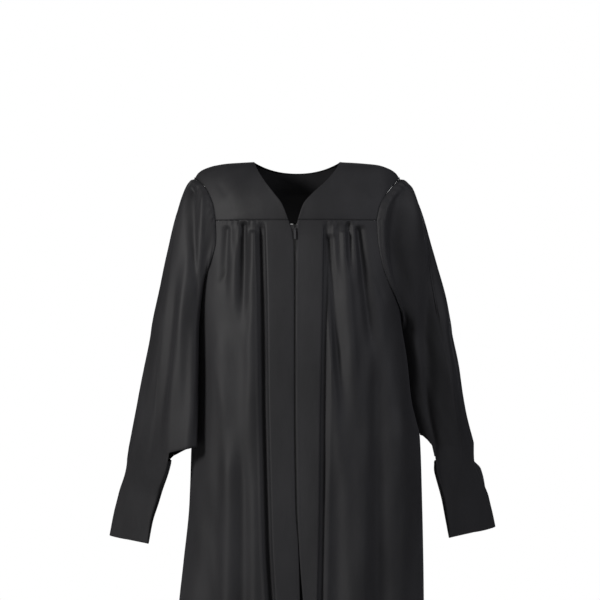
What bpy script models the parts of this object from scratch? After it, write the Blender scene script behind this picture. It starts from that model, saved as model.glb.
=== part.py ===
"""A graduation gown of the master's pattern, filled out and hollow, with nobody in it.

Metres, +Z up, the front faces -Y. The origin is midway between the two neck points of the shoulders, where the
gown is held up. Right and left are the wearer's, so the right side has negative X. A drop is a distance below
the origin. Every cloth piece is an open sheet of points with a wall added on its inner side.
"""

import math
from collections import namedtuple

import bmesh
import bpy
import numpy as np

# Driving sizes
YOKE_DROP = 0.140
ARMHOLE_DROP = 0.350
NECK_HALF_WIDTH = 0.100
BACK_NECK_DROP = 0.022
SHOULDER_TIP = 0.238
RIDGE_Y = 0.005
WALL = 0.0016
SEAM_GAP = 0.0003
SEAM_STRIP = 0.004
ROUNDNESS = 2.3
YOKE_ROUNDNESS = 1.85

# Half widths and depths of the body, by drop
Section = namedtuple("Section", "drop right left front back")
BODY = [
    Section(0.140, 0.233, 0.235, 0.112, 0.104),
    Section(0.170, 0.233, 0.235, 0.115, 0.110),
    Section(0.230, 0.233, 0.236, 0.126, 0.122),
    Section(0.350, 0.235, 0.240, 0.143, 0.137),
    Section(0.460, 0.238, 0.256, 0.152, 0.146),
    Section(0.560, 0.241, 0.267, 0.160, 0.154),
    Section(0.600, 0.243, 0.277, 0.163, 0.158),
    Section(0.640, 0.245, 0.286, 0.166, 0.162),
    Section(0.790, 0.250, 0.291, 0.177, 0.172),
    Section(0.930, 0.264, 0.294, 0.187, 0.182),
    Section(1.020, 0.274, 0.295, 0.193, 0.188),
    Section(1.320, 0.300, 0.300, 0.208, 0.205),
]

# Where the centre edges of the fronts and the outer borders of their flat bands lie, by drop
Centre = namedtuple("Centre", "drop right_edge left_edge right_band left_band")
CENTRE = [
    Centre(0.140, -0.0200, 0.0023, -0.0765, 0.0590),
    Centre(0.155, -0.0150, -0.0004, -0.0765, 0.0588),
    Centre(0.178, -0.0088, -0.0006, -0.0765, 0.0585),
    Centre(0.321, -0.0072, -0.0022, -0.0750, 0.0565),
    Centre(0.555, -0.0070, -0.0020, -0.0725, 0.0515),
    Centre(0.788, -0.0036, 0.0012, -0.0635, 0.0490),
    Centre(0.880, 0.0030, 0.0056, -0.0575, 0.0470),
    Centre(1.020, 0.0070, 0.0165, -0.0450, 0.0443),
    Centre(1.320, 0.0120, 0.0380, -0.0330, 0.0480),
]

# The V of the neck on the front yokes, by drop
Neck = namedtuple("Neck", "drop right left")
NECK = [
    Neck(0.000, -0.1000, 0.1000),
    Neck(0.020, -0.0920, 0.0900),
    Neck(0.050, -0.0740, 0.0660),
    Neck(0.078, -0.0530, 0.0360),
    Neck(0.103, -0.0345, 0.0150),
    Neck(0.140, -0.0200, 0.0023),
]

# The height of the shoulder ridge, by distance from the centre; inside the neck it is only a guide
Ridge = namedtuple("Ridge", "across drop")
RIDGE = [
    Ridge(0.000, -0.030),
    Ridge(0.050, -0.018),
    Ridge(0.100, 0.000),
    Ridge(0.150, 0.003),
    Ridge(0.190, 0.008),
    Ridge(0.215, 0.016),
    Ridge(0.230, 0.026),
    Ridge(0.238, 0.037),
]

# The armhole: distance from the centre on the yokes, then as a share of the body's half width
Armhole = namedtuple("Armhole", "drop right left")
ARMHOLE_YOKE = [
    Armhole(0.037, 0.238, 0.238),
    Armhole(0.048, 0.224, 0.230),
    Armhole(0.058, 0.214, 0.221),
    Armhole(0.080, 0.201, 0.204),
    Armhole(0.107, 0.191, 0.189),
    Armhole(0.140, 0.186, 0.182),
]
ARMHOLE_PANEL = [
    Armhole(0.140, 0.798, 0.775),
    Armhole(0.182, 0.790, 0.785),
    Armhole(0.230, 0.830, 0.815),
    Armhole(0.275, 0.905, 0.870),
    Armhole(0.315, 0.965, 0.945),
    Armhole(0.338, 0.992, 0.987),
    Armhole(0.350, 1.000, 1.000),
]

# Folds that hang from the yokes: where each lies at its top and bottom, its height out of the cloth (a trough is
# negative) at both ends, and its half width
Fold = namedtuple("Fold", "top bottom across_top across_bottom height_top height_bottom width")
FOLDS_RIGHT = [
    Fold(0.140, 0.400, 0.121, 0.124, -0.0105, -0.0060, 0.0070),
    Fold(0.180, 0.380, 0.139, 0.142, 0.0060, 0.0040, 0.0090),
    Fold(0.160, 0.760, 0.098, 0.109, 0.0070, 0.0090, 0.0110),
    Fold(0.150, 0.340, 0.160, 0.166, -0.0060, -0.0040, 0.0080),
    Fold(0.360, 0.680, 0.176, 0.168, 0.0070, 0.0090, 0.0190),
    Fold(0.600, 1.500, 0.124, 0.119, -0.0060, -0.0150, 0.0130),
    Fold(0.600, 1.500, 0.150, 0.162, 0.0070, 0.0130, 0.0170),
    Fold(0.720, 1.500, 0.196, 0.212, -0.0060, -0.0150, 0.0200),
    Fold(0.700, 1.500, 0.098, 0.082, 0.0030, 0.0090, 0.0130),
]
FOLDS_LEFT = [
    Fold(0.170, 0.660, 0.070, 0.114, -0.0120, -0.0090, 0.0100),
    Fold(0.320, 0.840, 0.066, 0.110, 0.0050, 0.0050, 0.0090),
    Fold(0.160, 0.640, 0.106, 0.136, 0.0070, 0.0090, 0.0100),
    Fold(0.140, 0.280, 0.119, 0.120, -0.0075, -0.0040, 0.0055),
    Fold(0.150, 0.310, 0.132, 0.136, 0.0050, 0.0040, 0.0065),
    Fold(0.150, 0.500, 0.140, 0.184, -0.0125, -0.0110, 0.0100),
    Fold(0.400, 1.500, 0.184, 0.190, -0.0075, -0.0140, 0.0180),
    Fold(0.600, 1.500, 0.142, 0.142, 0.0070, 0.0140, 0.0200),
    Fold(0.640, 1.500, 0.086, 0.094, -0.0040, -0.0120, 0.0150),
    Fold(0.440, 1.500, 0.230, 0.240, 0.0060, 0.0110, 0.0200),
]
FOLDS_BACK = [
    Fold(0.140, 0.480, -0.158, -0.166, -0.0060, -0.0040, 0.0070),
    Fold(0.140, 1.500, -0.126, -0.176, -0.0065, -0.0150, 0.0105),
    Fold(0.140, 0.560, -0.097, -0.104, -0.0060, -0.0050, 0.0070),
    Fold(0.140, 1.500, -0.069, -0.096, -0.0070, -0.0160, 0.0110),
    Fold(0.140, 0.500, -0.041, -0.043, -0.0060, -0.0040, 0.0065),
    Fold(0.140, 1.500, -0.010, -0.018, -0.0065, -0.0150, 0.0110),
    Fold(0.140, 0.600, 0.021, 0.026, -0.0060, -0.0050, 0.0070),
    Fold(0.140, 1.500, 0.047, 0.068, -0.0070, -0.0170, 0.0105),
    Fold(0.140, 0.520, 0.078, 0.083, -0.0060, -0.0040, 0.0070),
    Fold(0.140, 1.500, 0.104, 0.146, -0.0065, -0.0150, 0.0110),
    Fold(0.140, 0.460, 0.133, 0.141, -0.0060, -0.0040, 0.0065),
    Fold(0.140, 1.500, 0.158, 0.214, -0.0050, -0.0140, 0.0110),
]

# The deep pleat beside each band: its depth below the cloth, by drop
Pleat = namedtuple("Pleat", "drop right left")
PLEAT = [
    Pleat(0.140, 0.0040, 0.0015),
    Pleat(0.180, 0.0105, 0.0050),
    Pleat(0.400, 0.0135, 0.0065),
    Pleat(0.800, 0.0140, 0.0080),
    Pleat(1.320, 0.0155, 0.0100),
]
PLEAT_STATIONS = [0.0, 0.003, 0.007, 0.014, 0.024]
PLEAT_SHAPE = [0.10, -0.75, -1.0, -0.6, 0.0]

# The sleeves below the armhole: the front and rear ends of each section, how far its two flanks stand out from the
# line between them, and how square its ends are
SleeveSection = namedtuple("SleeveSection", "drop front_x front_y rear_x rear_y outer inner squareness")
SLEEVE_RIGHT = [
    SleeveSection(0.340, 0.2300, -0.088, 0.3150, 0.042, 0.046, 0.030, 2.0),
    SleeveSection(0.400, 0.2300, -0.095, 0.3250, 0.046, 0.046, 0.030, 2.0),
    SleeveSection(0.480, 0.2290, -0.104, 0.3450, 0.053, 0.045, 0.030, 2.0),
    SleeveSection(0.560, 0.2290, -0.112, 0.3640, 0.060, 0.043, 0.030, 2.0),
    SleeveSection(0.620, 0.2300, -0.118, 0.3780, 0.066, 0.041, 0.029, 2.1),
    SleeveSection(0.690, 0.2320, -0.124, 0.3940, 0.073, 0.037, 0.027, 2.3),
]
SLEEVE_LEFT = [
    SleeveSection(0.340, 0.2400, 0.026, 0.3550, 0.102, 0.052, 0.026, 2.0),
    SleeveSection(0.400, 0.2465, 0.033, 0.3645, 0.111, 0.053, 0.026, 2.0),
    SleeveSection(0.480, 0.2605, 0.036, 0.3800, 0.124, 0.054, 0.026, 2.0),
    SleeveSection(0.560, 0.2695, 0.045, 0.3925, 0.136, 0.055, 0.026, 2.0),
    SleeveSection(0.620, 0.2865, 0.050, 0.4045, 0.143, 0.050, 0.025, 2.1),
    SleeveSection(0.664, 0.3005, 0.056, 0.4160, 0.149, 0.045, 0.024, 2.3),
]

# The closed tails below the wrist openings
Tail = namedtuple("Tail", "front_drop rear_drop front_x front_y rear_x rear_y bulge squareness")
TAIL_RIGHT = [
    Tail(0.690, 0.696, 0.296, -0.060, 0.398, 0.074, 0.020, 2.4),
    Tail(0.715, 0.718, 0.302, -0.045, 0.404, 0.076, 0.017, 2.8),
    Tail(0.745, 0.745, 0.310, -0.030, 0.411, 0.079, 0.014, 3.2),
    Tail(0.790, 0.790, 0.323, -0.020, 0.423, 0.083, 0.012, 3.6),
    Tail(0.835, 0.830, 0.337, -0.012, 0.434, 0.086, 0.009, 4.0),
    Tail(0.886, 0.880, 0.346, -0.006, 0.445, 0.088, 0.006, 4.0),
]
TAIL_LEFT = [
    Tail(0.703, 0.703, 0.328, 0.045, 0.442, 0.152, 0.020, 2.4),
    Tail(0.720, 0.720, 0.329, 0.047, 0.446, 0.155, 0.017, 2.8),
    Tail(0.748, 0.748, 0.335, 0.051, 0.452, 0.158, 0.016, 3.0),
    Tail(0.795, 0.795, 0.345, 0.056, 0.461, 0.163, 0.012, 3.6),
    Tail(0.846, 0.842, 0.354, 0.060, 0.473, 0.166, 0.009, 4.0),
    Tail(0.882, 0.870, 0.360, 0.063, 0.480, 0.168, 0.006, 4.0),
]

# The wrist openings: the hem's drop at the front end, where the outer flank meets the tail, and on the inner flank;
# the share of each flank, from -1 at the front end to 1 at the rear, that is cut away
Wrist = namedtuple("Wrist", "front_drop side_drop inner_drop cut inner_cut")
WRIST_RIGHT = Wrist(0.655, 0.668, 0.684, -0.55, -0.02)
WRIST_LEFT = Wrist(0.640, 0.690, 0.674, -0.85, -0.10)

# How far below the hem the tail still follows the sleeve's own section, on the outer and the inner flank
FOLLOW_OUTER = 0.110
FOLLOW_INNER = 0.040

# Folds of the sleeves: where each lies round the section, in degrees from the rear end through the outer flank to
# the front end, at its top and bottom; a fall is 0 at the armhole and 1 at the wrist
SleeveFold = namedtuple("SleeveFold", "top bottom around_top around_bottom height_top height_bottom width")
SLEEVE_FOLDS_RIGHT = [
    SleeveFold(0.02, 0.40, 106.0, 178.0, -0.0150, -0.0070, 13.0),
    SleeveFold(0.02, 0.20, 140.0, 172.0, 0.0045, 0.0030, 9.0),
    SleeveFold(0.02, 0.24, 72.0, 62.0, -0.0060, -0.0040, 10.0),
    SleeveFold(0.02, 0.26, 40.0, 30.0, -0.0060, -0.0050, 12.0),
    SleeveFold(0.30, 1.00, 126.0, 94.0, -0.0095, -0.0105, 14.0),
    SleeveFold(0.26, 1.00, 150.0, 122.0, 0.0075, 0.0085, 13.0),
    SleeveFold(0.46, 1.00, 176.0, 160.0, 0.0040, 0.0040, 12.0),
    SleeveFold(0.40, 1.00, 56.0, 46.0, 0.0040, 0.0060, 16.0),
    SleeveFold(0.05, 0.90, 285.0, 290.0, 0.0060, 0.0070, 22.0),
]
SLEEVE_FOLDS_LEFT = [
    SleeveFold(0.02, 0.55, 104.0, 178.0, -0.0090, -0.0080, 12.0),
    SleeveFold(0.02, 0.95, 92.0, 176.0, 0.0055, 0.0060, 13.0),
    SleeveFold(0.02, 0.34, 126.0, 160.0, 0.0040, 0.0030, 9.0),
    SleeveFold(0.02, 0.22, 66.0, 64.0, -0.0060, -0.0040, 10.0),
    SleeveFold(0.02, 0.24, 36.0, 40.0, -0.0060, -0.0050, 12.0),
    SleeveFold(0.28, 1.00, 92.0, 152.0, -0.0095, -0.0095, 14.0),
    SleeveFold(0.34, 1.00, 62.0, 104.0, 0.0070, 0.0075, 15.0),
    SleeveFold(0.42, 1.00, 34.0, 56.0, -0.0050, -0.0060, 16.0),
    SleeveFold(0.05, 0.90, 285.0, 290.0, 0.0060, 0.0070, 22.0),
]

# How the sheets are divided
YOKE_ROWS = [(0.0, 0.004), (2.0, 0.004), (20.0, 0.004), (38.0, 0.004), (56.0, 0.004), (74.0, 0.004), (90.0, 0.004),
             (90.0, 0.0)]
PANEL_DROPS = [0.1403, 0.1443, 0.160, 0.182, 0.206, 0.235, 0.268, 0.300, 0.328, 0.350, 0.420, 0.510, 0.600, 0.690,
               0.790, 0.880, 0.980, 1.090, 1.200, 1.320]
ARMHOLE_DROPS = [0.140, 0.160, 0.182, 0.206, 0.235, 0.268, 0.300, 0.328, 0.350]
BAND_COLUMNS = 4
PANEL_COLUMNS = 19
BACK_COLUMNS = 36
FRONT_YOKE_COLUMNS = 9
BACK_YOKE_SHOULDER_COLUMNS = 6
BACK_YOKE_NECK_COLUMNS = 8
SLEEVE_FALLS = [0.0, 0.07, 0.15, 0.25, 0.38, 0.52, 0.66, 0.80, 0.92]
SLEEVE_DROP = 0.400
HEM_SHARES = [0.0, 0.27, 0.54, 0.80, 1.0]
HEAD_PARTS = 2

# The sleeve heads: how they spread behind and in front of the shoulder, how far round the cloth turns at the underarm
# in degrees, its fullness there, how far its outer rear swells out, how high that lies, and the ways that the cloth
# leaves the armhole's flanks and the underarm, sideways and up
HEAD_SPREAD = 0.30
UNDERARM_TURN = {"right": 2.0, "left": -95.0}
HEAD_FULLNESS = {"right": 0.5, "left": 0.0}
HEAD_SWELL = {"right": 0.015, "left": 0.028}
SWELL_HIGH = {"right": 0.45, "left": 0.50}
FLANK_WAY = (0.95, -0.30)
UNDERARM_WAY = {"right": (0.95, -0.30), "left": (0.35, -0.94)}
FALL_LENGTH = 0.690

# The zip
ZIP_TOP = 0.150
ZIP_BOTTOM = 0.868
ZIP_CENTRE = -0.0047
TAPE_WIDTH = 0.0150
TAPE_WALL = 0.0010
TAPE_HALF_GAP = 0.0012
TAPE_BEHIND = 0.0004
SLIDER_DROP = 0.1620
SLIDER_WIDTH = 0.0060
SLIDER_HEIGHT = 0.0090
PLATE_THICKNESS = 0.0011
POST_WIDTH = 0.0013
POST_HEIGHT = 0.0040
PIN_RADIUS = 0.0006
PIN_STANDS_OUT = 0.0027
LUG_THICKNESS = 0.0008
LUG_HALF_GAP = 0.0016
EYE_INNER = 0.0009
EYE_OUTER = 0.0018
EYE_HALF_WIDTH = 0.0012
TAB_HALF_WIDTH = 0.0025
TAB_THICKNESS = 0.0012
TAB_SHOULDER = 0.0032
TAB_LENGTH = 0.0240

SIDES = {"right": -1, "left": 1}
BLACK_CLOTH = (0.012, 0.012, 0.013, 1.0)
BLACK_TAPE = (0.008, 0.008, 0.009, 1.0)
BLACK_METAL = (0.03, 0.03, 0.032, 1.0)


def curve(places, values, at):
    """Reads a smooth curve through (place, value) pairs that never swings past them."""
    places = np.asarray(places, float)
    values = np.asarray(values, float)
    steps = np.diff(places)
    rises = np.diff(values) / steps
    slopes = np.zeros(len(values))
    slopes[0] = rises[0]
    slopes[-1] = rises[-1]
    before = rises[:-1]
    after = rises[1:]
    same_way = before * after > 0
    slopes[1:-1][same_way] = 2 * before[same_way] * after[same_way] / (before + after)[same_way]
    at = np.clip(at, places[0], places[-1])
    k = np.clip(np.searchsorted(places, at, side="right") - 1, 0, len(steps) - 1)
    t = (at - places[k]) / steps[k]
    start = (1 + 2 * t) * (1 - t) ** 2 * values[k] + t * (1 - t) ** 2 * steps[k] * slopes[k]
    end = t * t * (3 - 2 * t) * values[k + 1] - t * t * (1 - t) * steps[k] * slopes[k + 1]
    return start + end


def read(table, column, at, place="drop"):
    """Reads one column of a table at a drop, or at another place."""
    return curve([getattr(row, place) for row in table], [getattr(row, column) for row in table], at)


def signed_power(value, power):
    return np.sign(value) * np.abs(value) ** power


def ramp(value):
    """Rises smoothly from 0 to 1."""
    value = np.clip(value, 0.0, 1.0)
    return value * value * (3 - 2 * value)


def half_width(side, drop):
    return read(BODY, side, drop)


def turn_at(side, across, drop):
    """The turn round the body's section, 0 at the centre and 90 degrees at the side, of a distance from the centre."""
    share = np.clip(np.abs(across) / half_width(side, drop), 0.0, 1.0)
    return np.arcsin(share ** (ROUNDNESS / 2))


def body_depth(side, across, drop, face):
    """How far the body's section stands from the side line, for face "front" or "back"."""
    return read(BODY, face, drop) * np.cos(turn_at(side, across, drop)) ** (2 / ROUNDNESS)


def body_points(side, turn, drop, face):
    """Points of the body's smooth section at turns from its centre to its side."""
    sign = SIDES[side]
    toward = -1 if face == "front" else 1
    across = sign * half_width(side, drop) * np.sin(turn) ** (2 / ROUNDNESS)
    deep = toward * read(BODY, face, drop) * np.cos(turn) ** (2 / ROUNDNESS)
    return np.stack([across, deep, -drop + 0 * across], axis=-1)


def armhole_turn(side, drop):
    """Where a panel ends at the armhole, and at the side seam below it."""
    share = read(ARMHOLE_PANEL, side, drop)
    return np.where(drop < ARMHOLE_DROP, np.arcsin(np.clip(share, 0, 1) ** (ROUNDNESS / 2)), math.pi / 2)


def outward(grid, sign, closed=False):
    """Unit normals of a grid of points whose rows run down the cloth."""
    down = np.gradient(grid, axis=0)
    if closed:
        along = np.roll(grid, -1, axis=1) - np.roll(grid, 1, axis=1)
    else:
        along = np.gradient(grid, axis=1)
    normal = sign * np.cross(down, along)
    return normal / np.maximum(np.linalg.norm(normal, axis=-1, keepdims=True), 1e-12)


def fold_heights(folds, across, drop):
    """How far the folds lift the cloth at a place."""
    height = np.zeros_like(across)
    for fold in folds:
        run = np.clip((drop - fold.top) / (fold.bottom - fold.top), 0, 1)
        middle = fold.across_top + (fold.across_bottom - fold.across_top) * run
        crest = fold.height_top + (fold.height_bottom - fold.height_top) * run
        lead = 0.012 if fold.top <= YOKE_DROP + 0.03 else 0.3 * min(fold.bottom - fold.top, 0.4)
        grows = ramp((drop - fold.top) / lead)
        fades = ramp((fold.bottom - drop) / (0.45 * (fold.bottom - fold.top)))
        width = fold.width * (1 + 0.7 * run)
        height += crest * grows * fades * np.exp(-(((across - middle) / width) ** 2))
    return height


def stations(start, end, count, strip):
    """Even steps from start to end, with one narrow step of a given share at the end."""
    even = np.linspace(0.0, 1.0 - strip, count)
    return start + (end - start) * np.append(even, 1.0)


def front_panel(side):
    """The grid of a front panel: rows from the yoke to the hem, columns from the centre edge to the side seam."""
    sign = SIDES[side]
    folds = FOLDS_RIGHT if side == "right" else FOLDS_LEFT
    rows = []
    lifts = []
    for drop in PANEL_DROPS:
        edge = float(read(CENTRE, side + "_edge", drop))
        border = float(read(CENTRE, side + "_band", drop))
        across = np.linspace(edge, border, BAND_COLUMNS + 1)
        beyond = border + sign * np.array(PLEAT_STATIONS[1:])
        across = np.append(across, beyond)
        band = np.stack([across, -body_depth(side, across, drop, "front"), np.full_like(across, -drop)], axis=-1)
        first = turn_at(side, beyond[-1], drop)
        last = float(armhole_turn(side, drop)) - SEAM_GAP
        turns = stations(first, last, PANEL_COLUMNS, SEAM_STRIP / 0.16)[1:]
        rows.append(np.concatenate([band, body_points(side, turns, np.full_like(turns, drop), "front")]))
        lift = fold_heights(folds, np.abs(rows[-1][:, 0]), drop)
        lift[: BAND_COLUMNS] = 0.0
        depth = float(read(PLEAT, side, drop)) * float(ramp((drop - YOKE_DROP) / 0.02))
        pleat = BAND_COLUMNS + np.arange(len(PLEAT_STATIONS))
        lift[pleat] = lift[pleat] * np.linspace(0, 1, len(pleat)) + depth * np.array(PLEAT_SHAPE)
        lifts.append(lift)
    grid = np.array(rows)
    lifts = np.array(lifts)
    lifts *= ramp((math.pi / 2 - np.array([turn_at(side, row[:, 0], -row[0, 2]) for row in grid])) / 0.35)
    return grid + outward(grid, sign) * lifts[..., None]


def back_panel():
    """The grid of the back: rows from the yoke to the hem, columns from the right side seam to the left."""
    half = BACK_COLUMNS // 2
    rows = []
    for drop in PANEL_DROPS:
        halves = []
        for side in ("right", "left"):
            last = float(armhole_turn(side, drop)) - SEAM_GAP
            turns = stations(0.0, last, half, SEAM_STRIP / 0.25)
            halves.append(body_points(side, turns, np.full_like(turns, drop), "back"))
        rows.append(np.concatenate([halves[0][::-1], halves[1][1:]]))
    grid = np.array(rows)
    lift = fold_heights(FOLDS_BACK, grid[..., 0], -grid[..., 2])
    width = np.abs(grid[..., 0]).max(axis=1, keepdims=True)
    lift *= ramp((1 - np.abs(grid[..., 0]) / width) / 0.06)
    return grid + outward(grid, -1) * lift[..., None]


def yoke_point(side, across, turn, face, strip=SEAM_STRIP):
    """A point of the yokes: turn 0 at the chest seam, and 90 degrees at the flat strip beside the shoulder seam."""
    ridge = read(RIDGE, "drop", np.abs(across), place="across")
    toward = -1 if face == "front" else 1
    seam = toward * body_depth(side, across, YOKE_DROP, face)
    rise = np.sin(turn) ** (2 / YOKE_ROUNDNESS)
    drop = YOKE_DROP - SEAM_GAP - rise * (YOKE_DROP - SEAM_GAP - ridge)
    start = RIDGE_Y + toward * (strip + SEAM_GAP / 2)
    deep = start + (seam - start) * np.cos(turn) ** (2 / YOKE_ROUNDNESS)
    return across, deep, drop


def edge_on_yoke(table, side, turn, face, sign):
    """The distance from the centre where an edge that is given by drop crosses a row of the yoke."""
    across = abs(getattr(table[-1], side))
    for _ in range(30):
        drop = yoke_point(side, sign * across, turn, face)[2]
        across = 0.5 * across + 0.5 * abs(float(read(table, side, drop)))
    return across


def front_yoke(side):
    """The grid of a front yoke: rows from the shoulder to the chest, columns from the neck to the armhole."""
    sign = SIDES[side]
    rows = []
    for degrees, strip in reversed(YOKE_ROWS):
        turn = math.radians(degrees)
        inner = edge_on_yoke(NECK, side, turn, "front", sign)
        outer = edge_on_yoke(ARMHOLE_YOKE, side, turn, "front", sign)
        across = sign * stations(inner, outer, FRONT_YOKE_COLUMNS, SEAM_STRIP / 0.16)
        x, y, drop = yoke_point(side, across, turn, "front", strip)
        rows.append(np.stack([x, y, -drop], axis=-1))
    return np.array(rows)


def back_yoke():
    """The grid of the back yoke: rows from the shoulders and neck to the seam, columns from right to left."""
    neck_share = NECK_HALF_WIDTH / SHOULDER_TIP
    shoulder = np.linspace(neck_share, 1.0 - SEAM_STRIP / SHOULDER_TIP, BACK_YOKE_SHOULDER_COLUMNS)
    neck = np.linspace(0.0, neck_share, BACK_YOKE_NECK_COLUMNS // 2 + 1)[:-1]
    shares = np.concatenate([neck, shoulder, [1.0]])
    rows = []
    for degrees, strip in reversed(YOKE_ROWS):
        turn = math.radians(degrees)
        halves = []
        for side in ("right", "left"):
            sign = SIDES[side]
            outer = edge_on_yoke(ARMHOLE_YOKE, side, turn, "back", sign)
            across = outer * shares
            inside = np.clip(across / (outer * neck_share), 0.0, 1.0)
            ridge = read(RIDGE, "drop", across, place="across")
            edge_drop = BACK_NECK_DROP * (1 - inside ** 2.2)
            top_rise = (YOKE_DROP - np.maximum(edge_drop, ridge)) / (YOKE_DROP - ridge)
            top_turn = np.where(inside < 1.0, np.arcsin(np.clip(top_rise, 0, 1) ** (YOKE_ROUNDNESS / 2)), math.pi / 2)
            x, y, drop = yoke_point(side, sign * across, turn * top_turn / (math.pi / 2), "back", strip)
            halves.append(np.stack([x, y, -drop], axis=-1))
        rows.append(np.concatenate([halves[0][::-1], halves[1][1:]]))
    return np.array(rows)


def armhole_half(side, face):
    """Points of half the armhole, from the shoulder tip down to the underarm, and the way the cloth leaves there."""
    sign = SIDES[side]
    points = []
    for degrees, strip in reversed(YOKE_ROWS):
        if (degrees, strip) in (YOKE_ROWS[1], YOKE_ROWS[-2]):
            continue
        turn = math.radians(degrees)
        outer = edge_on_yoke(ARMHOLE_YOKE, side, turn, face, sign)
        pair = []
        for across in (outer - SEAM_STRIP, outer):
            x, y, drop = yoke_point(side, np.array(sign * across), turn, face, strip)
            pair.append(np.array([float(x), float(y), -float(drop)]))
        points.append(pair)
    for drop in ARMHOLE_DROPS[1:]:
        last = float(armhole_turn(side, drop))
        pair = [body_points(side, np.array(turn), np.array(drop), face) for turn in (last - 0.03, last)]
        points.append(pair)
    edge = np.array([pair[1] for pair in points])
    leave = np.array([pair[1] - pair[0] for pair in points])
    return edge, leave / np.linalg.norm(leave, axis=1, keepdims=True)


def divided(points, parts):
    """Adds even steps between neighbouring points; parts gives how many steps each stretch has."""
    out = []
    for start, end, count in zip(points[:-1], points[1:], parts):
        out += [start + (end - start) * k / count for k in range(count)]
    return np.array(out + [points[-1]])


def armhole_loop(side):
    """The whole armhole from the shoulder tip through the front: points, ways out, and shares of the way round."""
    on_yoke = len(YOKE_ROWS) - 3
    on_panel = len(ARMHOLE_DROPS) - 1
    parts = [HEAD_PARTS] * on_yoke + [1] * on_panel
    edges = []
    leaves = []
    shares = []
    for face in ("front", "back"):
        edge, leave = armhole_half(side, face)
        edge = divided(edge, parts)
        leave = divided(leave, parts)
        length = np.append(0.0, np.cumsum(np.linalg.norm(np.diff(edge, axis=0), axis=1)))
        share = 0.5 * length / length[-1]
        edges.append(edge)
        leaves.append(leave)
        shares.append(share)
    edge = np.concatenate([edges[0], edges[1][-2:0:-1]])
    leave = np.concatenate([leaves[0], leaves[1][-2:0:-1]])
    share = np.concatenate([shares[0], 1 - shares[1][-2:0:-1]])
    edge[0, 1] = RIDGE_Y
    return edge, leave, share


def oval(side, around, front, rear, outer, inner, squareness, drop):
    """A section of a sleeve: around is 0 at the rear end, 90 degrees on the outer flank, 180 at the front end."""
    sign = SIDES[side]
    front = np.asarray(front)
    rear = np.asarray(rear)
    centre = (front + rear) / 2
    reach = (rear - front) / 2
    length = np.hypot(reach[0], reach[1])
    across = np.array([reach[1], -reach[0]]) / length
    along = signed_power(np.cos(around), 2 / squareness)
    aside = signed_power(np.sin(around), 2 / squareness) * np.where(np.sin(around) > 0, outer, inner)
    x = centre[0] + reach[0] * along + across[0] * aside
    y = centre[1] + reach[1] * along + across[1] * aside
    return np.stack([sign * x, y, -drop + 0 * x], axis=-1)


def sleeve_section(side, around, drop):
    """A section of the sleeve proper at one drop for each point."""
    table = SLEEVE_RIGHT if side == "right" else SLEEVE_LEFT
    values = [read(table, column, drop) for column in SleeveSection._fields[1:]]
    front = (values[0], values[1])
    rear = (values[2], values[3])
    return oval(side, around, front, rear, values[4], values[5], values[6], drop)


def tail_around(around, cut, inner_cut):
    """Turns places round the whole section into places round the tail, which lacks its front part."""
    limit = math.radians(150)
    turned = around % (2 * math.pi)
    starts = []
    flanks = []
    for share in (cut, inner_cut):
        middle = (1 + share) / 2
        half = (1 - share) / 2
        starts.append(math.acos(middle + half * math.cos(limit)))
        flanks.append(np.arccos(np.clip((np.cos(turned) - middle) / half, -1, 1)))
    flank = np.where(turned > math.pi, 2 * math.pi - flanks[1], flanks[0])
    last = 2 * math.pi - starts[1]
    inside = limit + (turned - starts[0]) / (last - starts[0]) * (2 * math.pi - 2 * limit)
    return np.where((turned > starts[0]) & (turned < last), inside, flank)


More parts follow.
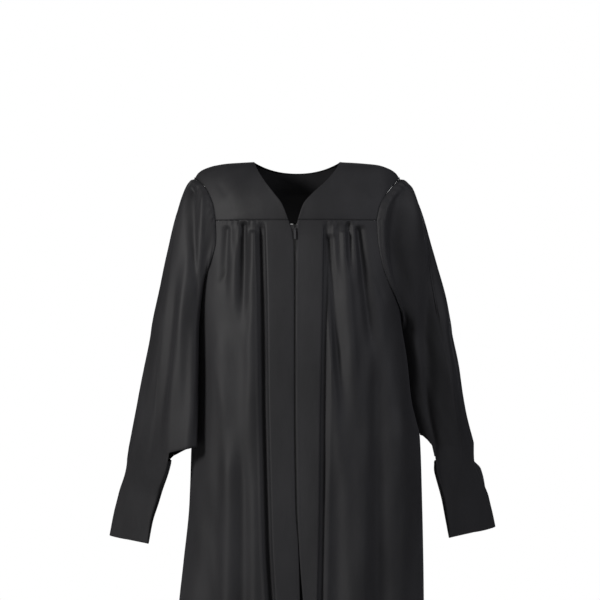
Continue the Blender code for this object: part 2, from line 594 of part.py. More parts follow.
def sleeve(side):
    """The grid of a sleeve, from the armhole to the tail's bottom; also the row of the wrist hem, and its cut columns."""
    sign = SIDES[side]
    wrist = WRIST_RIGHT if side == "right" else WRIST_LEFT
    tail = TAIL_RIGHT if side == "right" else TAIL_LEFT
    folds = SLEEVE_FOLDS_RIGHT if side == "right" else SLEEVE_FOLDS_LEFT
    edge, leave, share = armhole_loop(side)
    spread = share + HEAD_FULLNESS[side] * np.sin(2 * math.pi * share) / (2 * math.pi)
    underarm = math.radians(UNDERARM_TURN[side]) * (1 - np.cos(2 * math.pi * share)) / 2
    around = math.pi / 2 + 2 * math.pi * spread + underarm
    top = np.cos(math.pi * share) ** 2
    leave[:, 1] = -HEAD_SPREAD * np.tanh(np.sin(2 * math.pi * share) / 0.15)
    lowest = (1 - top[:, None]) ** 6
    aside = (1 - lowest) * np.array([sign * FLANK_WAY[0], 0.0, FLANK_WAY[1]])
    aside = aside + lowest * np.array([sign * UNDERARM_WAY[side][0], 0.0, UNDERARM_WAY[side][1]])
    way = top[:, None] * leave + (1 - top[:, None]) * aside
    way /= np.linalg.norm(way, axis=1, keepdims=True)
    start = edge + way * SEAM_STRIP
    end = sleeve_section(side, around, np.full_like(around, SLEEVE_DROP))
    below = sleeve_section(side, around, np.full_like(around, SLEEVE_DROP + 0.03))
    downward = (below - end) / np.linalg.norm(below - end, axis=1, keepdims=True)
    chord = np.linalg.norm(end - start, axis=1, keepdims=True)
    push = 0.035 + 0.115 * top[:, None] ** 3
    swell = np.clip(np.cos(around - math.pi / 4), 0, 1)[:, None] * np.array([sign * HEAD_SWELL[side], 0.0, 0.0])
    rows = [edge + way * (SEAM_GAP * 1.2)]
    falls = [0.0]
    for t in SLEEVE_FALLS:
        here = (1 + 2 * t) * (1 - t) ** 2 * start + t * (1 - t) ** 2 * push * way
        there = t * t * (3 - 2 * t) * end - t * t * (1 - t) * 0.9 * chord * downward
        rows.append(here + there + swell * math.sin(math.pi * t ** SWELL_HIGH[side]))
        falls.append(t * SLEEVE_DROP / FALL_LENGTH)
    along = np.cos(around)
    inner = np.sin(around) < 0
    side_share = np.clip((1 + along) / (1 + wrist.cut), 0, 1)
    inner_share = np.clip((1 + along) / (1 + wrist.inner_cut), 0, 1) ** 2
    hem = wrist.front_drop + (wrist.side_drop - wrist.front_drop) * side_share
    inner_hem = wrist.front_drop + (wrist.inner_drop - wrist.front_drop) * inner_share
    inner_hem = np.where(along > wrist.inner_cut, wrist.side_drop, inner_hem)
    hem = np.where(inner, inner_hem, hem)
    for share in HEM_SHARES:
        drop = SLEEVE_DROP + share * (hem - SLEEVE_DROP)
        rows.append(sleeve_section(side, around, drop))
        falls.append((SLEEVE_DROP + share * (wrist.side_drop - SLEEVE_DROP)) / FALL_LENGTH)
    hem_row = len(rows) - 1
    cut_away = along < np.where(inner, wrist.inner_cut, wrist.cut)
    on_tail = tail_around(around, wrist.cut, wrist.inner_cut)
    kept = np.flatnonzero(~cut_away)
    lost = np.flatnonzero(cut_away)
    for row in tail:
        drop = (row.front_drop + row.rear_drop) / 2 + (row.rear_drop - row.front_drop) / 2 * np.cos(on_tail)
        front = (row.front_x, row.front_y)
        rear = (row.rear_x, row.rear_y)
        shape = oval(side, on_tail, front, rear, row.bulge, row.bulge, row.squareness, drop)
        follow = 1 - ramp((drop - wrist.side_drop) / np.where(inner, FOLLOW_INNER, FOLLOW_OUTER))
        shift = follow[:, None] * (sleeve_section(side, around, drop) - shape)
        for axis in range(3):
            shift[lost, axis] = np.interp(lost, kept, shift[kept, axis])
        rows.append(shape + shift)
        falls.append(1.0 + (row.front_drop - wrist.side_drop) / FALL_LENGTH)
    grid = np.array(rows)
    falls = np.array(falls)[:, None]
    degrees = np.degrees(around)[None, :]
    lift = np.zeros(grid.shape[:2])
    for fold in folds:
        run = np.clip((falls - fold.top) / (fold.bottom - fold.top), 0, 1)
        middle = fold.around_top + (fold.around_bottom - fold.around_top) * run
        crest = fold.height_top + (fold.height_bottom - fold.height_top) * run
        lead = 0.05 if fold.top < 0.1 else 0.3 * (fold.bottom - fold.top)
        grows = ramp((falls - fold.top) / lead)
        fades = ramp((fold.bottom + 0.12 - falls) / (0.4 * (fold.bottom - fold.top) + 0.12))
        off = (degrees - middle + 180) % 360 - 180
        lift += crest * grows * fades * np.exp(-((off / fold.width) ** 2))
    lift[0] = 0.0
    lift[1] = 0.0
    lift[hem_row + 1:] *= 0.3
    grid = grid + outward(grid, -sign, closed=True) * lift[..., None]
    return grid, hem_row, cut_away


def material(name, color, roughness, metallic):
    made = bpy.data.materials.new(name)
    made.use_nodes = True
    shader = made.node_tree.nodes["Principled BSDF"]
    shader.inputs["Base Color"].default_value = color
    shader.inputs["Roughness"].default_value = roughness
    shader.inputs["Metallic"].default_value = metallic
    made.diffuse_color = color
    return made


def add_object(name, bm, surface):
    """Makes a mesh object of a bmesh in the gown's collection."""
    mesh = bpy.data.meshes.new(name)
    bm.to_mesh(mesh)
    bm.free()
    mesh.materials.append(surface)
    made = bpy.data.objects.new(name, mesh)
    bpy.data.collections["graduation_gown"].objects.link(made)
    return made


def cloth(name, grid, surface, sign, wall=WALL, closed=False, hem_row=None, cut_away=None):
    """A sheet of cloth on a grid of points, with its wall on the inner side; a closed one is a tube with a bottom."""
    bm = bmesh.new()
    row_count, column_count = grid.shape[:2]
    verts = [[bm.verts.new(point) for point in row] for row in grid]
    last = column_count if closed else column_count - 1
    for r in range(row_count - 1):
        for c in range(last):
            d = (c + 1) % column_count
            if r == hem_row and cut_away[c] and cut_away[d]:
                continue
            corners = [verts[r][c], verts[r + 1][c], verts[r + 1][d], verts[r][d]]
            if sign < 0:
                corners.reverse()
            bm.faces.new(corners)
    if closed:
        bottom = verts[-1]
        bm.faces.new(bottom if sign < 0 else bottom[::-1])
    bmesh.ops.triangulate(bm, faces=bm.faces[:])
    made = add_object(name, bm, surface)
    made.data.shade_smooth()
    thick = made.modifiers.new("wall", "SOLIDIFY")
    thick.thickness = wall
    thick.offset = -1.0
    thick.use_rim = True
    thick.use_quality_normals = True
    return made


def zip_tape(side):
    """The grid of one zip tape, just behind the wall of its front."""
    sign = SIDES[side]
    drops = [ZIP_TOP] + [drop for drop in PANEL_DROPS if ZIP_TOP < drop < ZIP_BOTTOM] + [ZIP_BOTTOM]
    rows = []
    for drop in drops:
        row = np.searchsorted(PANEL_DROPS, drop)
        low = PANEL_DROPS[row - 1]
        high = PANEL_DROPS[row]
        share = (drop - low) / (high - low)
        middle = zip_centre(low) * (1 - share) + zip_centre(high) * share
        deep = [-float(body_depth(side, 0.0, place, "front")) for place in (low, high)]
        y = deep[0] * (1 - share) + deep[1] * share + WALL * 1.06 + TAPE_BEHIND
        inner = middle + sign * TAPE_HALF_GAP
        rows.append([[inner, y, -drop], [inner + sign * TAPE_WIDTH, y, -drop]])
    return np.array(rows)


def zip_centre(drop):
    """The middle between the two centre edges, straight over the V of the neck."""
    right = float(read(CENTRE, "right_edge", max(drop, CENTRE[2].drop)))
    left = float(read(CENTRE, "left_edge", max(drop, CENTRE[2].drop)))
    return (right + left) / 2


def box(bm, low, high):
    """Adds a box between two corners."""
    low = np.asarray(low)
    high = np.asarray(high)
    made = bmesh.ops.create_cube(bm, size=1.0)["verts"]
    for vert in made:
        vert.co = [float(v) for v in (low + high) / 2 + np.array(vert.co) * (high - low)]


def rod(bm, radius, half_length, segments=16):
    """Adds a cylinder about the X axis."""
    made = bmesh.ops.create_cone(bm, cap_ends=True, segments=segments, radius1=radius, radius2=radius,
                                 depth=2 * half_length)["verts"]
    for vert in made:
        vert.co = (vert.co.z, vert.co.y, -vert.co.x)


def helper(name, build, surface):
    """A solid that a Boolean adds or takes away, and which isn't built itself."""
    bm = bmesh.new()
    build(bm)
    mesh = bpy.data.meshes.new(name)
    bm.to_mesh(mesh)
    bm.free()
    made = bpy.data.objects.new(name, mesh)
    made.hide_render = True
    made.display_type = "WIRE"
    bpy.data.collections["cutters"].objects.link(made)
    return made


def combine(target, other, operation):
    change = target.modifiers.new(operation.lower(), "BOOLEAN")
    change.operation = operation
    change.solver = "EXACT"
    change.object = other


def place(made, position, tilt):
    made.location = position
    made.rotation_euler = (tilt, 0.0, 0.0)


def build_zip(tape_surface, metal_surface):
    """The two tapes, and the slider with its pull tab, which hangs from a pin on the slider's front plate."""
    for side, sign in SIDES.items():
        cloth("zip_tape_" + side, zip_tape(side), tape_surface, sign, wall=TAPE_WALL)
    above = SLIDER_DROP - 0.010
    below = SLIDER_DROP + 0.016
    rise = float(body_depth("left", 0.0, below, "front") - body_depth("left", 0.0, above, "front"))
    tilt = -math.atan2(rise, below - above)
    face = -float(body_depth("left", 0.0, SLIDER_DROP, "front"))
    tape_front = WALL * 1.06 + TAPE_BEHIND
    front_plate = tape_front - SEAM_GAP - PLATE_THICKNESS
    back_plate = tape_front + TAPE_WALL + SEAM_GAP
    pin_y = front_plate - PIN_STANDS_OUT
    half_width_of_slider = SLIDER_WIDTH / 2
    lug_high = 0.0015
    pin_high = SLIDER_HEIGHT / 2 - 0.0025

    def front(bm):
        box(bm, (-half_width_of_slider, front_plate, -SLIDER_HEIGHT / 2),
            (half_width_of_slider, front_plate + PLATE_THICKNESS, SLIDER_HEIGHT / 2))

    def back(bm):
        box(bm, (-half_width_of_slider, back_plate, -SLIDER_HEIGHT / 2),
            (half_width_of_slider, back_plate + PLATE_THICKNESS, SLIDER_HEIGHT / 2))

    def post(bm):
        box(bm, (-POST_WIDTH / 2, front_plate + PLATE_THICKNESS / 2, SLIDER_HEIGHT / 2 - POST_HEIGHT),
            (POST_WIDTH / 2, back_plate + PLATE_THICKNESS / 2, SLIDER_HEIGHT / 2 - 0.0002))

    def lug(sign):
        near = sign * LUG_HALF_GAP
        far = sign * (LUG_HALF_GAP + LUG_THICKNESS)
        return lambda bm: box(bm, (min(near, far), pin_y - PIN_RADIUS - 0.0005, pin_high - lug_high),
                              (max(near, far), front_plate + PLATE_THICKNESS / 2, pin_high + lug_high))

    def pin(bm):
        rod(bm, PIN_RADIUS, LUG_HALF_GAP + LUG_THICKNESS / 2)
        bmesh.ops.translate(bm, verts=bm.verts[:], vec=(0.0, pin_y, pin_high))

    bm = bmesh.new()
    front(bm)
    slider = add_object("zip_slider", bm, metal_surface)
    pieces = [helper("slider_back", back, metal_surface), helper("slider_post", post, metal_surface)]
    pieces += [helper("slider_lug_right", lug(-1), metal_surface), helper("slider_lug_left", lug(1), metal_surface)]
    pieces += [helper("slider_pin", pin, metal_surface)]
    position = (zip_centre(SLIDER_DROP), face, -SLIDER_DROP)
    place(slider, position, tilt)
    for piece in pieces:
        place(piece, position, tilt)
        combine(slider, piece, "UNION")

    def eye(bm):
        rod(bm, EYE_OUTER, EYE_HALF_WIDTH)

    def bore(bm):
        rod(bm, EYE_INNER, EYE_HALF_WIDTH * 2)

    def neck(bm):
        box(bm, (-EYE_HALF_WIDTH * 0.95, -TAB_THICKNESS / 2, -TAB_SHOULDER - 0.0005),
            (EYE_HALF_WIDTH * 0.95, TAB_THICKNESS / 2, -(EYE_INNER + EYE_OUTER) / 2))

    bm = bmesh.new()
    box(bm, (-TAB_HALF_WIDTH, -TAB_THICKNESS / 2, -TAB_LENGTH), (TAB_HALF_WIDTH, TAB_THICKNESS / 2, -TAB_SHOULDER))
    tab = add_object("zip_pull_tab", bm, metal_surface)
    turn = np.array([[1, 0, 0], [0, math.cos(tilt), -math.sin(tilt)], [0, math.sin(tilt), math.cos(tilt)]])
    hinge = np.array(position) + turn @ np.array([0.0, pin_y, pin_high])
    hinge = [float(v) for v in hinge]
    place(tab, hinge, tilt)
    for name, build, operation in (("tab_neck", neck, "UNION"), ("tab_eye", eye, "UNION"),
                                   ("tab_bore", bore, "DIFFERENCE")):
        piece = helper(name, build, metal_surface)
        place(piece, hinge, tilt)
        combine(tab, piece, operation)


def build_gown():
    black = material("black_cloth", BLACK_CLOTH, 0.6, 0.0)
    tape = material("black_tape", BLACK_TAPE, 0.8, 0.0)
    metal = material("black_metal", BLACK_METAL, 0.4, 0.6)
    for side, sign in SIDES.items():
        cloth("yoke_front_" + side, front_yoke(side), black, sign)
        cloth("front_" + side, front_panel(side), black, sign)
        grid, hem_row, cut_away = sleeve(side)
        cloth("sleeve_" + side, grid, black, -sign, closed=True, hem_row=hem_row, cut_away=cut_away)
    cloth("yoke_back", back_yoke(), black, -1)
    cloth("back", back_panel(), black, -1)
    build_zip(tape, metal)


for old in list(bpy.data.objects):
    bpy.data.objects.remove(old, do_unlink=True)
for title in ("graduation_gown", "cutters"):
    bpy.context.scene.collection.children.link(bpy.data.collections.new(title))
build_gown()
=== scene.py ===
"""The looks of a black graduation gown of the master's pattern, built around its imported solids.

Metres, +Z up, the front faces -Y, and right and left are the wearer's. A drop is a distance below the
origin, which is midway between the two neck points of the shoulders. Each cloth piece is a fine sheet of
points on the same cut as its solid, with the gathers, creases, turned edges and stitching that the solid
leaves out.
"""

import math
import random
from collections import namedtuple

import bmesh
import bpy
import numpy as np
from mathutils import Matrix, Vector


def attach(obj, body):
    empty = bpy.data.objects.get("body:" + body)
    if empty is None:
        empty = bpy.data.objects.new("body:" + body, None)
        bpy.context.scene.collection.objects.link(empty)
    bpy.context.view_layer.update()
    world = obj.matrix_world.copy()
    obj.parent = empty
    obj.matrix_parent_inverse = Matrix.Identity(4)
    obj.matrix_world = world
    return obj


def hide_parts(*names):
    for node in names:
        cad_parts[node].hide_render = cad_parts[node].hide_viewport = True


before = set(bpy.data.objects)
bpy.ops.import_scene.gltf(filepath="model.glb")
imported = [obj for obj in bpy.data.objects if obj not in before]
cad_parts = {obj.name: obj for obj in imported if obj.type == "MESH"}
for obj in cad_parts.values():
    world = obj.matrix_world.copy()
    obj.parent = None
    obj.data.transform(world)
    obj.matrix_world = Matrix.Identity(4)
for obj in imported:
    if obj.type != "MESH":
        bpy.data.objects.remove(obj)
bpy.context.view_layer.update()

# Sizes that the solids share
YOKE_DROP = 0.140
ARMHOLE_DROP = 0.350
HEM_DROP = 1.320
NECK_HALF_WIDTH = 0.100
BACK_NECK_DROP = 0.022
SHOULDER_TIP = 0.238
RIDGE_Y = 0.005
SEAM_GAP = 0.0003
SEAM_STRIP = 0.004
ROUNDNESS = 2.3
YOKE_ROUNDNESS = 1.85
SLEEVE_DROP = 0.400
FALL_LENGTH = 0.690
HEAD_SPREAD = 0.30
SLEEVE_RADIUS = 0.09
UNDERARM_TURN = {"right": 2.0, "left": -95.0}
HEAD_FULLNESS = {"right": 0.5, "left": 0.0}
HEAD_SWELL = {"right": 0.015, "left": 0.028}
SWELL_HIGH = {"right": 0.45, "left": 0.50}
FLANK_WAY = (0.95, -0.30)
UNDERARM_WAY = {"right": (0.95, -0.30), "left": (0.35, -0.94)}
SIDES = {"right": -1, "left": 1}

# Half widths and depths of the body, by drop
Section = namedtuple("Section", "drop right left front back")
BODY = [
    Section(0.140, 0.233, 0.235, 0.112, 0.104),
    Section(0.170, 0.233, 0.235, 0.115, 0.110),
    Section(0.230, 0.233, 0.236, 0.126, 0.122),
    Section(0.350, 0.235, 0.240, 0.143, 0.137),
    Section(0.460, 0.238, 0.256, 0.152, 0.146),
    Section(0.560, 0.241, 0.267, 0.160, 0.154),
    Section(0.600, 0.243, 0.277, 0.163, 0.158),
    Section(0.640, 0.245, 0.286, 0.166, 0.162),
    Section(0.790, 0.250, 0.291, 0.177, 0.172),
    Section(0.930, 0.264, 0.294, 0.187, 0.182),
    Section(1.020, 0.274, 0.295, 0.193, 0.188),
    Section(1.320, 0.300, 0.300, 0.208, 0.205),
]

# Where the centre edges of the fronts and the outer borders of their flat bands lie, by drop
Centre = namedtuple("Centre", "drop right_edge left_edge right_band left_band")
CENTRE = [
    Centre(0.140, -0.0200, 0.0023, -0.0720, 0.0590),
    Centre(0.155, -0.0150, -0.0004, -0.0715, 0.0588),
    Centre(0.178, -0.0088, -0.0006, -0.0705, 0.0585),
    Centre(0.321, -0.0072, -0.0022, -0.0660, 0.0565),
    Centre(0.555, -0.0070, -0.0020, -0.0625, 0.0515),
    Centre(0.788, -0.0036, 0.0012, -0.0565, 0.0490),
    Centre(0.880, 0.0030, 0.0056, -0.0535, 0.0470),
    Centre(1.020, 0.0070, 0.0165, -0.0450, 0.0443),
    Centre(1.320, 0.0120, 0.0380, -0.0330, 0.0480),
]

# The V of the neck on the front yokes, by drop
Neck = namedtuple("Neck", "drop right left")
NECK = [
    Neck(0.000, -0.1000, 0.1000),
    Neck(0.020, -0.0920, 0.0900),
    Neck(0.050, -0.0740, 0.0660),
    Neck(0.078, -0.0530, 0.0360),
    Neck(0.103, -0.0345, 0.0150),
    Neck(0.140, -0.0200, 0.0023),
]

# The height of the shoulder ridge, by distance from the centre; inside the neck it is only a guide
Ridge = namedtuple("Ridge", "across drop")
RIDGE = [
    Ridge(0.000, -0.030),
    Ridge(0.050, -0.018),
    Ridge(0.100, 0.000),
    Ridge(0.150, 0.003),
    Ridge(0.190, 0.008),
    Ridge(0.215, 0.016),
    Ridge(0.230, 0.026),
    Ridge(0.238, 0.037),
]

# The armhole: distance from the centre on the yokes, then as a share of the body's half width
Armhole = namedtuple("Armhole", "drop right left")
ARMHOLE_YOKE = [
    Armhole(0.037, 0.238, 0.238),
    Armhole(0.048, 0.224, 0.230),
    Armhole(0.058, 0.214, 0.221),
    Armhole(0.080, 0.201, 0.204),
    Armhole(0.107, 0.191, 0.189),
    Armhole(0.140, 0.186, 0.182),
]
ARMHOLE_PANEL = [
    Armhole(0.140, 0.798, 0.775),
    Armhole(0.182, 0.790, 0.785),
    Armhole(0.230, 0.830, 0.815),
    Armhole(0.275, 0.905, 0.870),
    Armhole(0.315, 0.965, 0.945),
    Armhole(0.338, 0.992, 0.987),
    Armhole(0.350, 1.000, 1.000),
]

# Folds that hang from the yokes: where each lies at its top and bottom, its height out of the cloth (a
# trough is negative) at both ends, and its half width
Fold = namedtuple("Fold", "top bottom across_top across_bottom height_top height_bottom width")
FOLDS_RIGHT = [
    Fold(0.140, 0.400, 0.121, 0.124, -0.0105, -0.0060, 0.0070),
    Fold(0.180, 0.380, 0.139, 0.142, 0.0060, 0.0040, 0.0090),
    Fold(0.160, 0.760, 0.098, 0.109, 0.0070, 0.0090, 0.0110),
    Fold(0.150, 0.340, 0.160, 0.166, -0.0060, -0.0040, 0.0080),
    Fold(0.360, 0.680, 0.176, 0.168, 0.0070, 0.0090, 0.0190),
    Fold(0.600, 1.500, 0.124, 0.119, -0.0060, -0.0150, 0.0130),
    Fold(0.600, 1.500, 0.150, 0.162, 0.0070, 0.0130, 0.0170),
    Fold(0.720, 1.500, 0.196, 0.212, -0.0060, -0.0150, 0.0200),
    Fold(0.700, 1.500, 0.098, 0.082, 0.0030, 0.0090, 0.0130),
]
FOLDS_LEFT = [
    Fold(0.170, 0.660, 0.070, 0.114, -0.0120, -0.0090, 0.0100),
    Fold(0.320, 0.840, 0.066, 0.110, 0.0050, 0.0050, 0.0090),
    Fold(0.160, 0.640, 0.106, 0.136, 0.0070, 0.0090, 0.0100),
    Fold(0.140, 0.280, 0.119, 0.120, -0.0075, -0.0040, 0.0055),
    Fold(0.150, 0.310, 0.132, 0.136, 0.0050, 0.0040, 0.0065),
    Fold(0.150, 0.500, 0.140, 0.184, -0.0125, -0.0110, 0.0100),
    Fold(0.400, 1.500, 0.184, 0.190, -0.0075, -0.0140, 0.0180),
    Fold(0.600, 1.500, 0.142, 0.142, 0.0070, 0.0140, 0.0200),
    Fold(0.640, 1.500, 0.086, 0.094, -0.0040, -0.0120, 0.0150),
    Fold(0.440, 1.500, 0.230, 0.240, 0.0060, 0.0110, 0.0200),
]
FOLDS_BACK = [
    Fold(0.140, 0.480, -0.158, -0.166, -0.0060, -0.0040, 0.0070),
    Fold(0.140, 1.500, -0.126, -0.176, -0.0065, -0.0150, 0.0105),
    Fold(0.140, 0.560, -0.097, -0.104, -0.0060, -0.0050, 0.0070),
    Fold(0.140, 1.500, -0.069, -0.096, -0.0070, -0.0160, 0.0110),
    Fold(0.140, 0.500, -0.041, -0.043, -0.0060, -0.0040, 0.0065),
    Fold(0.140, 1.500, -0.010, -0.018, -0.0065, -0.0150, 0.0110),
    Fold(0.140, 0.600, 0.021, 0.026, -0.0060, -0.0050, 0.0070),
    Fold(0.140, 1.500, 0.047, 0.068, -0.0070, -0.0170, 0.0105),
    Fold(0.140, 0.520, 0.078, 0.083, -0.0060, -0.0040, 0.0070),
    Fold(0.140, 1.500, 0.104, 0.146, -0.0065, -0.0150, 0.0110),
    Fold(0.140, 0.460, 0.133, 0.141, -0.0060, -0.0040, 0.0065),
    Fold(0.140, 1.500, 0.158, 0.214, -0.0050, -0.0140, 0.0110),
]

# The deep pleat beside each band: its depth below the cloth, by drop
Pleat = namedtuple("Pleat", "drop right left")
PLEAT = [
    Pleat(0.140, 0.0040, 0.0015),
    Pleat(0.180, 0.0105, 0.0050),
    Pleat(0.400, 0.0135, 0.0065),
    Pleat(0.800, 0.0140, 0.0080),
    Pleat(1.320, 0.0155, 0.0100),
]
PLEAT_STATIONS = [0.0, 0.004, 0.010, 0.016, 0.024]
PLEAT_SHAPE = [0.0, -0.75, -1.0, -0.45, 0.10]

# The sleeves below the armhole: the front and rear ends of each section, how far its two flanks stand out
# from the line between them, and how square its ends are
SleeveSection = namedtuple("SleeveSection", "drop front_x front_y rear_x rear_y outer inner squareness")
SLEEVE_RIGHT = [
    SleeveSection(0.340, 0.2300, -0.088, 0.3150, 0.042, 0.046, 0.030, 2.0),
    SleeveSection(0.400, 0.2300, -0.095, 0.3250, 0.046, 0.046, 0.030, 2.0),
    SleeveSection(0.480, 0.2290, -0.104, 0.3450, 0.053, 0.045, 0.030, 2.0),
    SleeveSection(0.560, 0.2290, -0.112, 0.3640, 0.060, 0.043, 0.030, 2.0),
    SleeveSection(0.620, 0.2300, -0.118, 0.3780, 0.066, 0.041, 0.029, 2.1),
    SleeveSection(0.690, 0.2320, -0.124, 0.3940, 0.073, 0.037, 0.027, 2.3),
]
SLEEVE_LEFT = [
    SleeveSection(0.340, 0.2400, 0.026, 0.3550, 0.102, 0.052, 0.026, 2.0),
    SleeveSection(0.400, 0.2465, 0.033, 0.3645, 0.111, 0.053, 0.026, 2.0),
    SleeveSection(0.480, 0.2605, 0.036, 0.3800, 0.124, 0.054, 0.026, 2.0),
    SleeveSection(0.560, 0.2695, 0.045, 0.3925, 0.136, 0.055, 0.026, 2.0),
    SleeveSection(0.620, 0.2865, 0.050, 0.4045, 0.143, 0.050, 0.025, 2.1),
    SleeveSection(0.664, 0.3005, 0.056, 0.4160, 0.149, 0.045, 0.024, 2.3),
]

# The closed tails below the wrist openings
Tail = namedtuple("Tail", "front_drop rear_drop front_x front_y rear_x rear_y bulge squareness")
TAIL_RIGHT = [
    Tail(0.690, 0.696, 0.296, -0.060, 0.398, 0.074, 0.020, 2.4),
    Tail(0.715, 0.718, 0.302, -0.045, 0.404, 0.076, 0.017, 2.8),
    Tail(0.745, 0.745, 0.310, -0.030, 0.411, 0.079, 0.014, 3.2),
    Tail(0.790, 0.790, 0.323, -0.020, 0.423, 0.083, 0.012, 3.6),
    Tail(0.835, 0.830, 0.337, -0.012, 0.434, 0.086, 0.009, 4.0),
    Tail(0.886, 0.880, 0.346, -0.006, 0.445, 0.088, 0.006, 4.0),
]
TAIL_LEFT = [
    Tail(0.703, 0.703, 0.328, 0.045, 0.438, 0.152, 0.020, 2.4),
    Tail(0.720, 0.720, 0.329, 0.047, 0.443, 0.155, 0.017, 2.8),
    Tail(0.748, 0.748, 0.335, 0.051, 0.452, 0.158, 0.016, 3.0),
    Tail(0.795, 0.795, 0.345, 0.056, 0.461, 0.163, 0.012, 3.6),
    Tail(0.846, 0.842, 0.354, 0.060, 0.473, 0.166, 0.009, 4.0),
    Tail(0.882, 0.870, 0.360, 0.063, 0.480, 0.168, 0.006, 4.0),
]

# The wrist openings: the hem's drop at the front end, where the outer flank meets the tail, and on the
# inner flank; the share of each flank, from -1 at the front end to 1 at the rear, that is cut away
Wrist = namedtuple("Wrist", "front_drop side_drop inner_drop cut inner_cut")
WRIST_RIGHT = Wrist(0.655, 0.668, 0.684, -0.55, -0.02)
WRIST_LEFT = Wrist(0.640, 0.690, 0.674, -0.85, -0.10)

# How far below the hem the tail still follows the sleeve's own section, on the outer and the inner flank
FOLLOW_OUTER = 0.110
FOLLOW_INNER = 0.040

# Folds of the sleeves: where each lies round the section, in degrees from the rear end through the outer
# flank to the front end, at its top and bottom; a fall is 0 at the armhole and 1 at the wrist
SleeveFold = namedtuple("SleeveFold", "top bottom around_top around_bottom height_top height_bottom width")
SLEEVE_FOLDS_RIGHT = [
    SleeveFold(0.02, 0.40, 106.0, 178.0, -0.0150, -0.0070, 13.0),
    SleeveFold(0.02, 0.20, 140.0, 172.0, 0.0045, 0.0030, 9.0),
    SleeveFold(0.02, 0.24, 72.0, 62.0, -0.0060, -0.0040, 10.0),
    SleeveFold(0.02, 0.26, 40.0, 30.0, -0.0060, -0.0050, 12.0),
    SleeveFold(0.30, 1.00, 126.0, 94.0, -0.0095, -0.0105, 14.0),
    SleeveFold(0.26, 1.00, 150.0, 122.0, 0.0075, 0.0085, 13.0),
    SleeveFold(0.46, 1.00, 176.0, 160.0, 0.0040, 0.0040, 12.0),
    SleeveFold(0.40, 1.00, 56.0, 46.0, 0.0040, 0.0060, 16.0),
    SleeveFold(0.05, 0.90, 285.0, 290.0, 0.0060, 0.0070, 22.0),
]
SLEEVE_FOLDS_LEFT = [
    SleeveFold(0.02, 0.55, 104.0, 178.0, -0.0090, -0.0080, 12.0),
    SleeveFold(0.02, 0.95, 92.0, 176.0, 0.0055, 0.0060, 13.0),
    SleeveFold(0.02, 0.34, 126.0, 160.0, 0.0040, 0.0030, 9.0),
    SleeveFold(0.02, 0.22, 66.0, 64.0, -0.0060, -0.0040, 10.0),
    SleeveFold(0.02, 0.24, 36.0, 40.0, -0.0060, -0.0050, 12.0),
    SleeveFold(0.28, 1.00, 92.0, 152.0, -0.0095, -0.0095, 14.0),
    SleeveFold(0.34, 1.00, 62.0, 104.0, 0.0070, 0.0075, 15.0),
    SleeveFold(0.42, 1.00, 34.0, 56.0, -0.0050, -0.0060, 16.0),
    SleeveFold(0.05, 0.90, 285.0, 290.0, 0.0060, 0.0070, 22.0),
]

# Gathers under the yoke seams: where the gathered stretch starts and ends, how many puckers it has, how
# far they stand out and how long they are
Gather = namedtuple("Gather", "start end count height length")
GATHERS_RIGHT = [Gather(0.090, 0.172, 13, 0.0009, 0.026)]
GATHERS_LEFT = [Gather(0.066, 0.142, 12, 0.0009, 0.026)]
GATHERS_BACK = [Gather(-0.172, 0.172, 46, 0.0010, 0.034)]
# Gathers of the sleeve heads, by share of the way round the armhole from the shoulder tip through the front
GATHERS_HEAD = [Gather(-0.21, 0.21, 34, 0.0014, 0.055)]

# Soft creases that run aslant: where each starts and ends, its height and its half width
Crease = namedtuple("Crease", "across drop to_across to_drop height width")
CREASES_RIGHT = [
    Crease(0.100, 0.300, 0.118, 0.420, -0.0012, 0.0060),
    Crease(0.150, 0.240, 0.185, 0.300, -0.0014, 0.0070),
    Crease(0.190, 0.420, 0.150, 0.620, 0.0016, 0.0110),
    Crease(0.060, 0.330, 0.020, 0.345, 0.0006, 0.0060),
    Crease(0.066, 0.560, 0.016, 0.590, 0.0006, 0.0080),
    Crease(0.210, 0.800, 0.170, 1.080, 0.0020, 0.0140),
]
CREASES_LEFT = [
    Crease(0.090, 0.250, 0.100, 0.330, -0.0012, 0.0050),
    Crease(0.170, 0.260, 0.205, 0.330, -0.0015, 0.0070),
    Crease(0.150, 0.520, 0.170, 0.800, 0.0018, 0.0130),
    Crease(0.010, 0.450, 0.050, 0.470, 0.0006, 0.0070),
    Crease(0.240, 0.700, 0.210, 1.000, -0.0020, 0.0150),
]
CREASES_YOKE_RIGHT = [
    Crease(0.105, 0.030, 0.190, 0.118, 0.0012, 0.0120),
    Crease(0.060, 0.085, 0.170, 0.128, -0.0010, 0.0090),
    Crease(0.190, 0.040, 0.150, 0.100, -0.0010, 0.0090),
]
CREASES_YOKE_LEFT = [
    Crease(0.100, 0.030, 0.186, 0.116, 0.0012, 0.0130),
    Crease(0.050, 0.090, 0.160, 0.120, -0.0010, 0.0090),
    Crease(0.200, 0.040, 0.160, 0.094, -0.0009, 0.0090),
]
CREASES_YOKE_BACK = [
    Crease(-0.150, 0.030, -0.070, 0.110, -0.0010, 0.0120),
    Crease(0.150, 0.030, 0.080, 0.112, -0.0010, 0.0120),
    Crease(-0.080, 0.070, 0.090, 0.074, 0.0008, 0.0100),
]
CREASES_BACK = [
    Crease(-0.200, 0.320, -0.130, 0.460, 0.0016, 0.0120),
    Crease(0.205, 0.330, 0.140, 0.470, 0.0016, 0.0120),
    Crease(-0.060, 0.560, -0.030, 0.820, 0.0016, 0.0120),
    Crease(0.100, 0.640, 0.120, 0.900, -0.0016, 0.0120),
]
